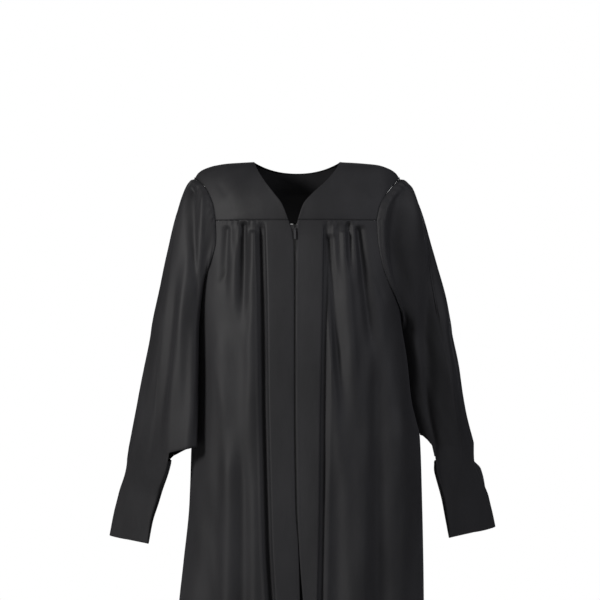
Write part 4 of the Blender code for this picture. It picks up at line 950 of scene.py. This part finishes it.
def inset(grid, normal, distance, rise=0.00025):
    """The line that runs a given distance in from the last row of a sheet, just above the cloth."""
    line = []
    for column in range(grid.shape[1]):
        points = grid[::-1, column]
        length = np.append(0.0, np.cumsum(np.linalg.norm(np.diff(points, axis=0), axis=1)))
        place = [np.interp(distance, length, points[:, axis]) for axis in range(3)]
        way = [np.interp(distance, length, normal[::-1, column, axis]) for axis in range(3)]
        line.append(np.array(place) + rise * np.array(way))
    return np.array(line)


def weave_places(grid, closed):
    """Places on the cloth in metres, along its weft and down its warp."""
    along = np.linalg.norm(np.diff(grid, axis=1), axis=-1)
    down = np.linalg.norm(np.diff(grid, axis=0), axis=-1)
    along = np.concatenate([np.zeros((grid.shape[0], 1)), np.cumsum(along, axis=1)], axis=1)
    down = np.concatenate([np.zeros((1, grid.shape[1])), np.cumsum(down, axis=0)], axis=0)
    if closed:
        last = along[:, -1:] + np.linalg.norm(grid[:, 0] - grid[:, -1], axis=-1)[:, None]
        along = np.concatenate([along, last], axis=1)
        down = np.concatenate([down, down[:, :1]], axis=1)
    return along, down


def add_sheet(bm, layer, grid, sign, closed=False, hole=None, places=None):
    """Adds a grid of faces to a mesh; hole(row, column) says which faces are left out."""
    along, down = weave_places(grid, closed) if places is None else places
    verts = [[bm.verts.new(point) for point in row] for row in grid]
    columns = grid.shape[1]
    for r in range(grid.shape[0] - 1):
        for c in range(columns if closed else columns - 1):
            if hole is not None and hole(r, c):
                continue
            d = (c + 1) % columns
            corners = [(verts[r][c], r, c), (verts[r + 1][c], r + 1, c), (verts[r + 1][d], r + 1, c + 1),
                       (verts[r][d], r, c + 1)]
            if sign < 0:
                corners.reverse()
            face = bm.faces.new([corner[0] for corner in corners])
            for loop, (_, row, column) in zip(face.loops, corners):
                loop[layer].uv = (along[row, column], down[row, column])
    return verts


def add_piece(name, bm, surface, thickness):
    """Makes an object of a mesh, with the cloth's thickness on its inner side."""
    mesh = bpy.data.meshes.new(name)
    bm.to_mesh(mesh)
    bm.free()
    mesh.materials.append(surface)
    mesh.shade_smooth()
    made = bpy.data.objects.new(name, mesh)
    bpy.context.scene.collection.objects.link(made)
    if thickness:
        thick = made.modifiers.new("cloth", "SOLIDIFY")
        thick.thickness = thickness
        thick.offset = -1.0
        thick.use_rim = True
        thick.use_quality_normals = True
    return made


def cloth_piece(name, grid, surface, sign):
    """A cloth piece of one open sheet."""
    bm = bmesh.new()
    layer = bm.loops.layers.uv.new("weave")
    add_sheet(bm, layer, grid, sign)
    return add_piece(name, bm, surface, CLOTH)


def sleeve_piece(name, side, surface, seams):
    """A sleeve with a turned hem at its wrist opening and a closed tail."""
    sign = -SIDES[side]
    grid, normal, hem_row, lip_row, cut_away = sleeve(side)
    columns = grid.shape[1]
    bm = bmesh.new()
    layer = bm.loops.layers.uv.new("weave")
    whole = turned(grid, normal, "first row", SEAM_TURN)[0]
    added = whole.shape[0] - grid.shape[0]
    along, down = weave_places(whole, True)

    def hole(r, c):
        return hem_row + added <= r < lip_row + added and cut_away[c] and cut_away[(c + 1) % columns]

    verts = add_sheet(bm, layer, whole, sign, closed=True, hole=hole, places=(along, down))
    bm.faces.new(verts[-1] if sign < 0 else verts[-1][::-1])
    cut = np.flatnonzero(cut_away)
    hem, hem_normal = grid[:hem_row + 1, cut], normal[:hem_row + 1, cut]
    flap = turned(hem, hem_normal, "last row", HEM_ROLL, back=3)[0][hem_row:]
    add_sheet(bm, layer, flap, sign)
    lip, lip_normal = grid[lip_row:, cut], normal[lip_row:, cut]
    turned_lip = turned(lip, lip_normal, "first row", HEM_ROLL, back=3)[0]
    add_sheet(bm, layer, turned_lip[:len(turned_lip) - len(lip) + 1], sign)
    bmesh.ops.remove_doubles(bm, verts=bm.verts[:], dist=0.00001)
    seams.append(inset(hem, hem_normal, WRIST_STITCH))
    seams.append(inset(lip[::-1], lip_normal[::-1], LIP_STITCH))
    return add_piece(name, bm, surface, CLOTH)


def edge_line(points, normals, lift):
    """A line of points lifted off the cloth."""
    return points + normals * lift


def path_object(name, lines):
    """A mesh of bare edges that holds several lines of points."""
    verts = []
    edges = []
    for line in lines:
        first = len(verts)
        verts += [tuple(point) for point in line]
        edges += [(first + k, first + k + 1) for k in range(len(line) - 1)]
    mesh = bpy.data.meshes.new(name)
    mesh.from_pydata(verts, edges, [])
    made = bpy.data.objects.new(name, mesh)
    bpy.context.scene.collection.objects.link(made)
    return made


def bead(name, sizes, segments, rings):
    """A small rounded form, longest along Z, that is repeated along a line."""
    bm = bmesh.new()
    bmesh.ops.create_uvsphere(bm, u_segments=segments, v_segments=rings, radius=0.5)
    for vert in bm.verts:
        vert.co = (vert.co.x * sizes[0], vert.co.y * sizes[1], vert.co.z * sizes[2])
    mesh = bpy.data.meshes.new(name)
    bm.to_mesh(mesh)
    bm.free()
    mesh.shade_smooth()
    made = bpy.data.objects.new(name, mesh)
    bpy.context.scene.collection.objects.link(made)
    return made


def repeated(name, lines, form, pitch, surface, seed, uneven, along=True):
    """Copies of a form, a pitch apart along lines of points, turned to run along them unless told not to."""
    carrier = path_object(name, lines)
    tree = bpy.data.node_groups.new(name + "_repeat", "GeometryNodeTree")
    tree.interface.new_socket("Geometry", in_out="INPUT", socket_type="NodeSocketGeometry")
    tree.interface.new_socket("Geometry", in_out="OUTPUT", socket_type="NodeSocketGeometry")
    form_socket = tree.interface.new_socket("Form", in_out="INPUT", socket_type="NodeSocketObject")
    pitch_socket = tree.interface.new_socket("Pitch", in_out="INPUT", socket_type="NodeSocketFloat")
    uneven_socket = tree.interface.new_socket("Uneven", in_out="INPUT", socket_type="NodeSocketFloat")
    seed_socket = tree.interface.new_socket("Seed", in_out="INPUT", socket_type="NodeSocketInt")
    surface_socket = tree.interface.new_socket("Surface", in_out="INPUT", socket_type="NodeSocketMaterial")
    nodes = tree.nodes
    link = tree.links.new
    given = nodes.new("NodeGroupInput")
    out = nodes.new("NodeGroupOutput")
    to_curve = nodes.new("GeometryNodeMeshToCurve")
    to_points = nodes.new("GeometryNodeCurveToPoints")
    to_points.mode = "LENGTH"
    info = nodes.new("GeometryNodeObjectInfo")
    copies = nodes.new("GeometryNodeInstanceOnPoints")
    chance = nodes.new("FunctionNodeRandomValue")
    chance.data_type = "FLOAT"
    low = nodes.new("ShaderNodeMath")
    low.operation = "SUBTRACT"
    low.inputs[0].default_value = 1.0
    high = nodes.new("ShaderNodeMath")
    high.operation = "ADD"
    high.inputs[0].default_value = 1.0
    realize = nodes.new("GeometryNodeRealizeInstances")
    set_surface = nodes.new("GeometryNodeSetMaterial")
    link(given.outputs["Geometry"], to_curve.inputs["Mesh"])
    link(to_curve.outputs["Curve"], to_points.inputs["Curve"])
    link(given.outputs["Pitch"], to_points.inputs["Length"])
    link(to_points.outputs["Points"], copies.inputs["Points"])
    link(given.outputs["Form"], info.inputs["Object"])
    link(info.outputs["Geometry"], copies.inputs["Instance"])
    if along:
        link(to_points.outputs["Rotation"], copies.inputs["Rotation"])
    link(given.outputs["Uneven"], low.inputs[1])
    link(given.outputs["Uneven"], high.inputs[1])
    link(low.outputs[0], chance.inputs[2])
    link(high.outputs[0], chance.inputs[3])
    link(given.outputs["Seed"], chance.inputs["Seed"])
    link(chance.outputs[1], copies.inputs["Scale"])
    link(copies.outputs["Instances"], realize.inputs["Geometry"])
    link(realize.outputs["Geometry"], set_surface.inputs["Geometry"])
    link(given.outputs["Surface"], set_surface.inputs["Material"])
    link(set_surface.outputs["Geometry"], out.inputs["Geometry"])
    repeat = carrier.modifiers.new("repeat", "NODES")
    repeat.node_group = tree
    repeat[form_socket.identifier] = form
    repeat[pitch_socket.identifier] = pitch
    repeat[uneven_socket.identifier] = uneven
    repeat[seed_socket.identifier] = seed
    repeat[surface_socket.identifier] = surface
    bpy.context.view_layer.update()
    depsgraph = bpy.context.evaluated_depsgraph_get()
    plain = bpy.data.meshes.new_from_object(carrier.evaluated_get(depsgraph))
    carrier.modifiers.clear()
    carrier.data = plain
    plain.name = name
    if not plain.materials:
        plain.materials.append(surface)
    plain.shade_smooth()
    return carrier


def shader_of(surface):
    surface.use_nodes = True
    return surface.node_tree.nodes["Principled BSDF"]


def ripple(tree, source, pitch):
    """A wave that repeats at a pitch along one coordinate."""
    turn = tree.nodes.new("ShaderNodeMath")
    turn.operation = "MULTIPLY"
    turn.inputs[1].default_value = 2 * math.pi / pitch
    wave = tree.nodes.new("ShaderNodeMath")
    wave.operation = "SINE"
    tree.links.new(source, turn.inputs[0])
    tree.links.new(turn.outputs[0], wave.inputs[0])
    return wave.outputs[0]


def noise(tree, vector, scale, detail):
    """An even noise in a space."""
    made = tree.nodes.new("ShaderNodeTexNoise")
    made.inputs["Scale"].default_value = scale
    made.inputs["Detail"].default_value = detail
    tree.links.new(vector, made.inputs["Vector"])
    return made.outputs["Fac"]


def bump(tree, height, strength, distance, under=None):
    """A bump of a height, over another bump where one is given."""
    made = tree.nodes.new("ShaderNodeBump")
    made.inputs["Strength"].default_value = strength
    made.inputs["Distance"].default_value = distance
    tree.links.new(height, made.inputs["Height"])
    if under is not None:
        tree.links.new(under, made.inputs["Normal"])
    return made.outputs["Normal"]


def vary_roughness(tree, shader, source, low, high):
    """Lets a noise carry the roughness between two values."""
    rough = tree.nodes.new("ShaderNodeMapRange")
    rough.inputs["To Min"].default_value = low
    rough.inputs["To Max"].default_value = high
    tree.links.new(source, rough.inputs["Value"])
    tree.links.new(rough.outputs["Result"], shader.inputs["Roughness"])


def cloth_surface(name, base, roughness, thread):
    """Black woven cloth: a fine weave, a little unevenness of colour, and a soft sheen."""
    surface = bpy.data.materials.new(name)
    shader = shader_of(surface)
    tree = surface.node_tree
    nodes = tree.nodes
    link = tree.links.new
    shader.inputs["Metallic"].default_value = 0.0
    shader.inputs["IOR"].default_value = 1.45
    shader.inputs["Specular IOR Level"].default_value = 0.30
    shader.inputs["Sheen Weight"].default_value = 0.03
    shader.inputs["Sheen Roughness"].default_value = 0.35
    shader.inputs["Sheen Tint"].default_value = (0.80, 0.82, 0.95, 1.0)
    places = nodes.new("ShaderNodeUVMap")
    places.uv_map = "weave"
    split = nodes.new("ShaderNodeSeparateXYZ")
    link(places.outputs["UV"], split.inputs["Vector"])
    weave = nodes.new("ShaderNodeMath")
    weave.operation = "MULTIPLY"
    link(ripple(tree, split.outputs["X"], thread), weave.inputs[0])
    link(ripple(tree, split.outputs["Y"], thread), weave.inputs[1])
    fine = bump(tree, weave.outputs[0], 0.35, 0.00003)
    object_places = nodes.new("ShaderNodeTexCoord")
    stretch = nodes.new("ShaderNodeMapping")
    stretch.inputs["Scale"].default_value = (1.0, 1.0, 0.35)
    link(object_places.outputs["Object"], stretch.inputs["Vector"])
    puckers = noise(tree, stretch.outputs["Vector"], 90.0, 3.0)
    link(bump(tree, puckers, 0.30, 0.0012, under=fine), shader.inputs["Normal"])
    shade = noise(tree, stretch.outputs["Vector"], 14.0, 4.0)
    color = nodes.new("ShaderNodeValToRGB")
    color.color_ramp.elements[0].position = 0.30
    color.color_ramp.elements[0].color = [v * 0.82 for v in base] + [1.0]
    color.color_ramp.elements[1].position = 0.72
    color.color_ramp.elements[1].color = [v * 1.20 for v in base] + [1.0]
    link(shade, color.inputs["Fac"])
    link(color.outputs["Color"], shader.inputs["Base Color"])
    vary_roughness(tree, shader, shade, roughness - 0.05, roughness + 0.07)
    return surface


def plain_surface(name, base, roughness, metallic=0.0):
    """A plain surface with a little unevenness."""
    surface = bpy.data.materials.new(name)
    shader = shader_of(surface)
    tree = surface.node_tree
    shader.inputs["Base Color"].default_value = (*base, 1.0)
    shader.inputs["Metallic"].default_value = metallic
    places = tree.nodes.new("ShaderNodeTexCoord")
    grain = noise(tree, places.outputs["Object"], 900.0, 3.0)
    vary_roughness(tree, shader, grain, max(roughness - 0.07, 0.05), min(roughness + 0.07, 1.0))
    return surface


def ribbed_surface(name, base, roughness, rib):
    """A woven tape with ribs across it."""
    surface = plain_surface(name, base, roughness)
    tree = surface.node_tree
    places = tree.nodes.new("ShaderNodeTexCoord")
    split = tree.nodes.new("ShaderNodeSeparateXYZ")
    tree.links.new(places.outputs["Object"], split.inputs["Vector"])
    ribs = ripple(tree, split.outputs["Z"], rib)
    tree.links.new(bump(tree, ribs, 0.6, 0.0001), tree.nodes["Principled BSDF"].inputs["Normal"])
    return surface


def zip_centre(drop):
    """The middle between the two centre edges, straight over the V of the neck."""
    top = CENTRE[2].drop
    drop = np.maximum(drop, top)
    return (read(CENTRE, "right_edge", drop) + read(CENTRE, "left_edge", drop)) / 2


def teeth_lines():
    """The two rows of teeth of the closed zip, which stand half a pitch apart."""
    lines = []
    for sign, start in ((-1, 0.0), (1, TOOTH_PITCH / 2)):
        drops = np.arange(ZIP_TOP + 0.002 + start, ZIP_BOTTOM - 0.002, TOOTH_PITCH * 4)
        y = -read(BODY, "front", drops) + TAPE_DEPTH
        lines.append(np.stack([zip_centre(drops) + sign * TOOTH_OUT, y, -drops], axis=-1))
    return lines


def area_light(light):
    """A soft square light that looks at a point."""
    data = bpy.data.lights.new(light.name, "AREA")
    data.shape = "SQUARE"
    data.size = light.size
    data.energy = light.power
    data.color = light.color
    made = bpy.data.objects.new(light.name, data)
    made.location = light.place
    made.rotation_mode = "QUATERNION"
    made.rotation_quaternion = (Vector(light.aim) - Vector(light.place)).to_track_quat("-Z", "Y")
    bpy.context.scene.collection.objects.link(made)


def studio():
    """The camera, a pale floor that it doesn't see, soft light, and white behind."""
    data = bpy.data.cameras.new("camera")
    data.sensor_width = 36.0
    data.lens = 36.0 * abs(CAMERA[1]) / VIEW_WIDTH
    data.dof.use_dof = False
    camera = bpy.data.objects.new("camera", data)
    camera.location = CAMERA
    camera.rotation_euler = (math.pi / 2, 0.0, 0.0)
    bpy.context.scene.collection.objects.link(camera)
    bpy.context.scene.camera = camera
    bpy.context.scene.view_settings.view_transform = "Standard"
    bpy.context.scene.view_settings.look = "None"
    bm = bmesh.new()
    bm.faces.new([bm.verts.new(corner) for corner in FLOOR_CORNERS])
    mesh = bpy.data.meshes.new("floor")
    bm.to_mesh(mesh)
    bm.free()
    mesh.materials.append(plain_surface("floor_paint", FLOOR_GREY, 0.8))
    floor = bpy.data.objects.new("floor", mesh)
    bpy.context.scene.collection.objects.link(floor)
    world = bpy.data.worlds.new("studio")
    bpy.context.scene.world = world
    world.use_nodes = True
    nodes = world.node_tree.nodes
    link = world.node_tree.links.new
    ambient = nodes["Background"]
    ambient.inputs["Color"].default_value = (0.93, 0.95, 1.0, 1.0)
    ambient.inputs["Strength"].default_value = AMBIENT
    seen = nodes.new("ShaderNodeBackground")
    seen.inputs["Color"].default_value = (1.0, 1.0, 1.0, 1.0)
    seen.inputs["Strength"].default_value = 1.0
    path = nodes.new("ShaderNodeLightPath")
    both = nodes.new("ShaderNodeMixShader")
    link(path.outputs["Is Camera Ray"], both.inputs["Fac"])
    link(ambient.outputs["Background"], both.inputs[1])
    link(seen.outputs["Background"], both.inputs[2])
    link(both.outputs["Shader"], nodes["World Output"].inputs["Surface"])
    for light in LIGHTS:
        area_light(light)


def declare(piece, node, flat, area):
    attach(piece, "gown")
    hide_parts(node)


def dress():
    """All the cloth pieces, their stitching and the teeth of the zip."""
    cloth = cloth_surface("black_polyester", CLOTH_BLACK, 0.60, 0.0005)
    thread = plain_surface("black_thread", THREAD_BLACK, 0.55)
    tape = ribbed_surface("black_zip_tape", TAPE_BLACK, 0.75, 0.0012)
    lacquer = plain_surface("black_lacquered_metal", LACQUER_BLACK, 0.50, metallic=0.5)
    # The teeth's near-black is their own black plus painted shade of the gap between the fronts
    tooth = plain_surface("black_zip_teeth", TOOTH_BLACK_AND_GAP_SHADE, 0.80)
    seams = []
    for side, sign in SIDES.items():
        grid, normal = front_panel(side)
        seams.append(inset(grid, normal, HEM_STITCH))
        seams.append(inset(*from_side(grid, normal), CENTRE_STITCH))
        seams.append(edge_line(grid[:, BAND_COLUMNS], normal[:, BAND_COLUMNS], BAND_STITCH_RISE)[2:])
        whole = edged(grid, normal, ("first row", SEAM_TURN, 0), ("last column", SEAM_TURN, 0),
                      ("first column", HEM_ROLL, 6), ("last row", HEM_ROLL, 2))
        piece = cloth_piece("front_%s_cloth" % side, whole, cloth, sign)
        declare(piece, "front_" + side, *FLAT["front"])
        grid, normal = front_yoke(side)
        seams.append(inset(grid, normal, YOKE_SEAM_STITCH))
        seams.append(inset(*from_side(grid, normal), NECK_STITCH)[2:])
        whole = edged(grid, normal, ("last row", SEAM_TURN, 0), ("first row", SEAM_TURN, 0),
                      ("last column", SEAM_TURN, 0), ("first column", HEM_ROLL, 6))
        piece = cloth_piece("yoke_front_%s_cloth" % side, whole, cloth, sign)
        declare(piece, "yoke_front_" + side, *FLAT["front yoke"])
        piece = sleeve_piece("sleeve_%s_cloth" % side, side, cloth, seams)
        declare(piece, "sleeve_" + side, *FLAT["sleeve"])
    grid, normal = back_panel()
    seams.append(inset(grid, normal, HEM_STITCH))
    whole = edged(grid, normal, ("first row", SEAM_TURN, 0), ("last column", SEAM_TURN, 0),
                  ("first column", SEAM_TURN, 0), ("last row", HEM_ROLL, 2))
    piece = cloth_piece("back_cloth", whole, cloth, -1)
    declare(piece, "back", *FLAT["back"])
    grid, normal = back_yoke()
    seams.append(inset(grid, normal, YOKE_SEAM_STITCH))
    neck = slice(BACK_YOKE_SHOULDER_COLUMNS - 1, BACK_YOKE_SHOULDER_COLUMNS + 2 * BACK_YOKE_NECK_COLUMNS)
    seams.append(inset(grid[::-1][:, neck], normal[::-1][:, neck], NECK_STITCH))
    whole = edged(grid, normal, ("last row", SEAM_TURN, 0), ("first row", HEM_ROLL, 0),
                  ("last column", SEAM_TURN, 0), ("first column", SEAM_TURN, 0))
    piece = cloth_piece("yoke_back_cloth", whole, cloth, -1)
    declare(piece, "yoke_back", *FLAT["back yoke"])
    stitch = bead("stitch_form", STITCH_SIZE, 6, 4)
    sewing = repeated("stitching", seams, stitch, STITCH_PITCH, thread, 5, 0.10)
    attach(sewing, "gown")
    tooth_form = bead("tooth_form", TOOTH_SIZE, 8, 5)
    teeth = repeated("zip_teeth", teeth_lines(), tooth_form, TOOTH_PITCH, tooth, 6, 0.02, along=False)
    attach(teeth, "gown")
    for form in (stitch, tooth_form):
        bpy.data.objects.remove(form, do_unlink=True)
    for name in ("zip_tape_right", "zip_tape_left"):
        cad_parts[name].data.materials[0] = tape
    for name in ("zip_slider", "zip_pull_tab"):
        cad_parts[name].data.materials[0] = lacquer


dress()
studio()
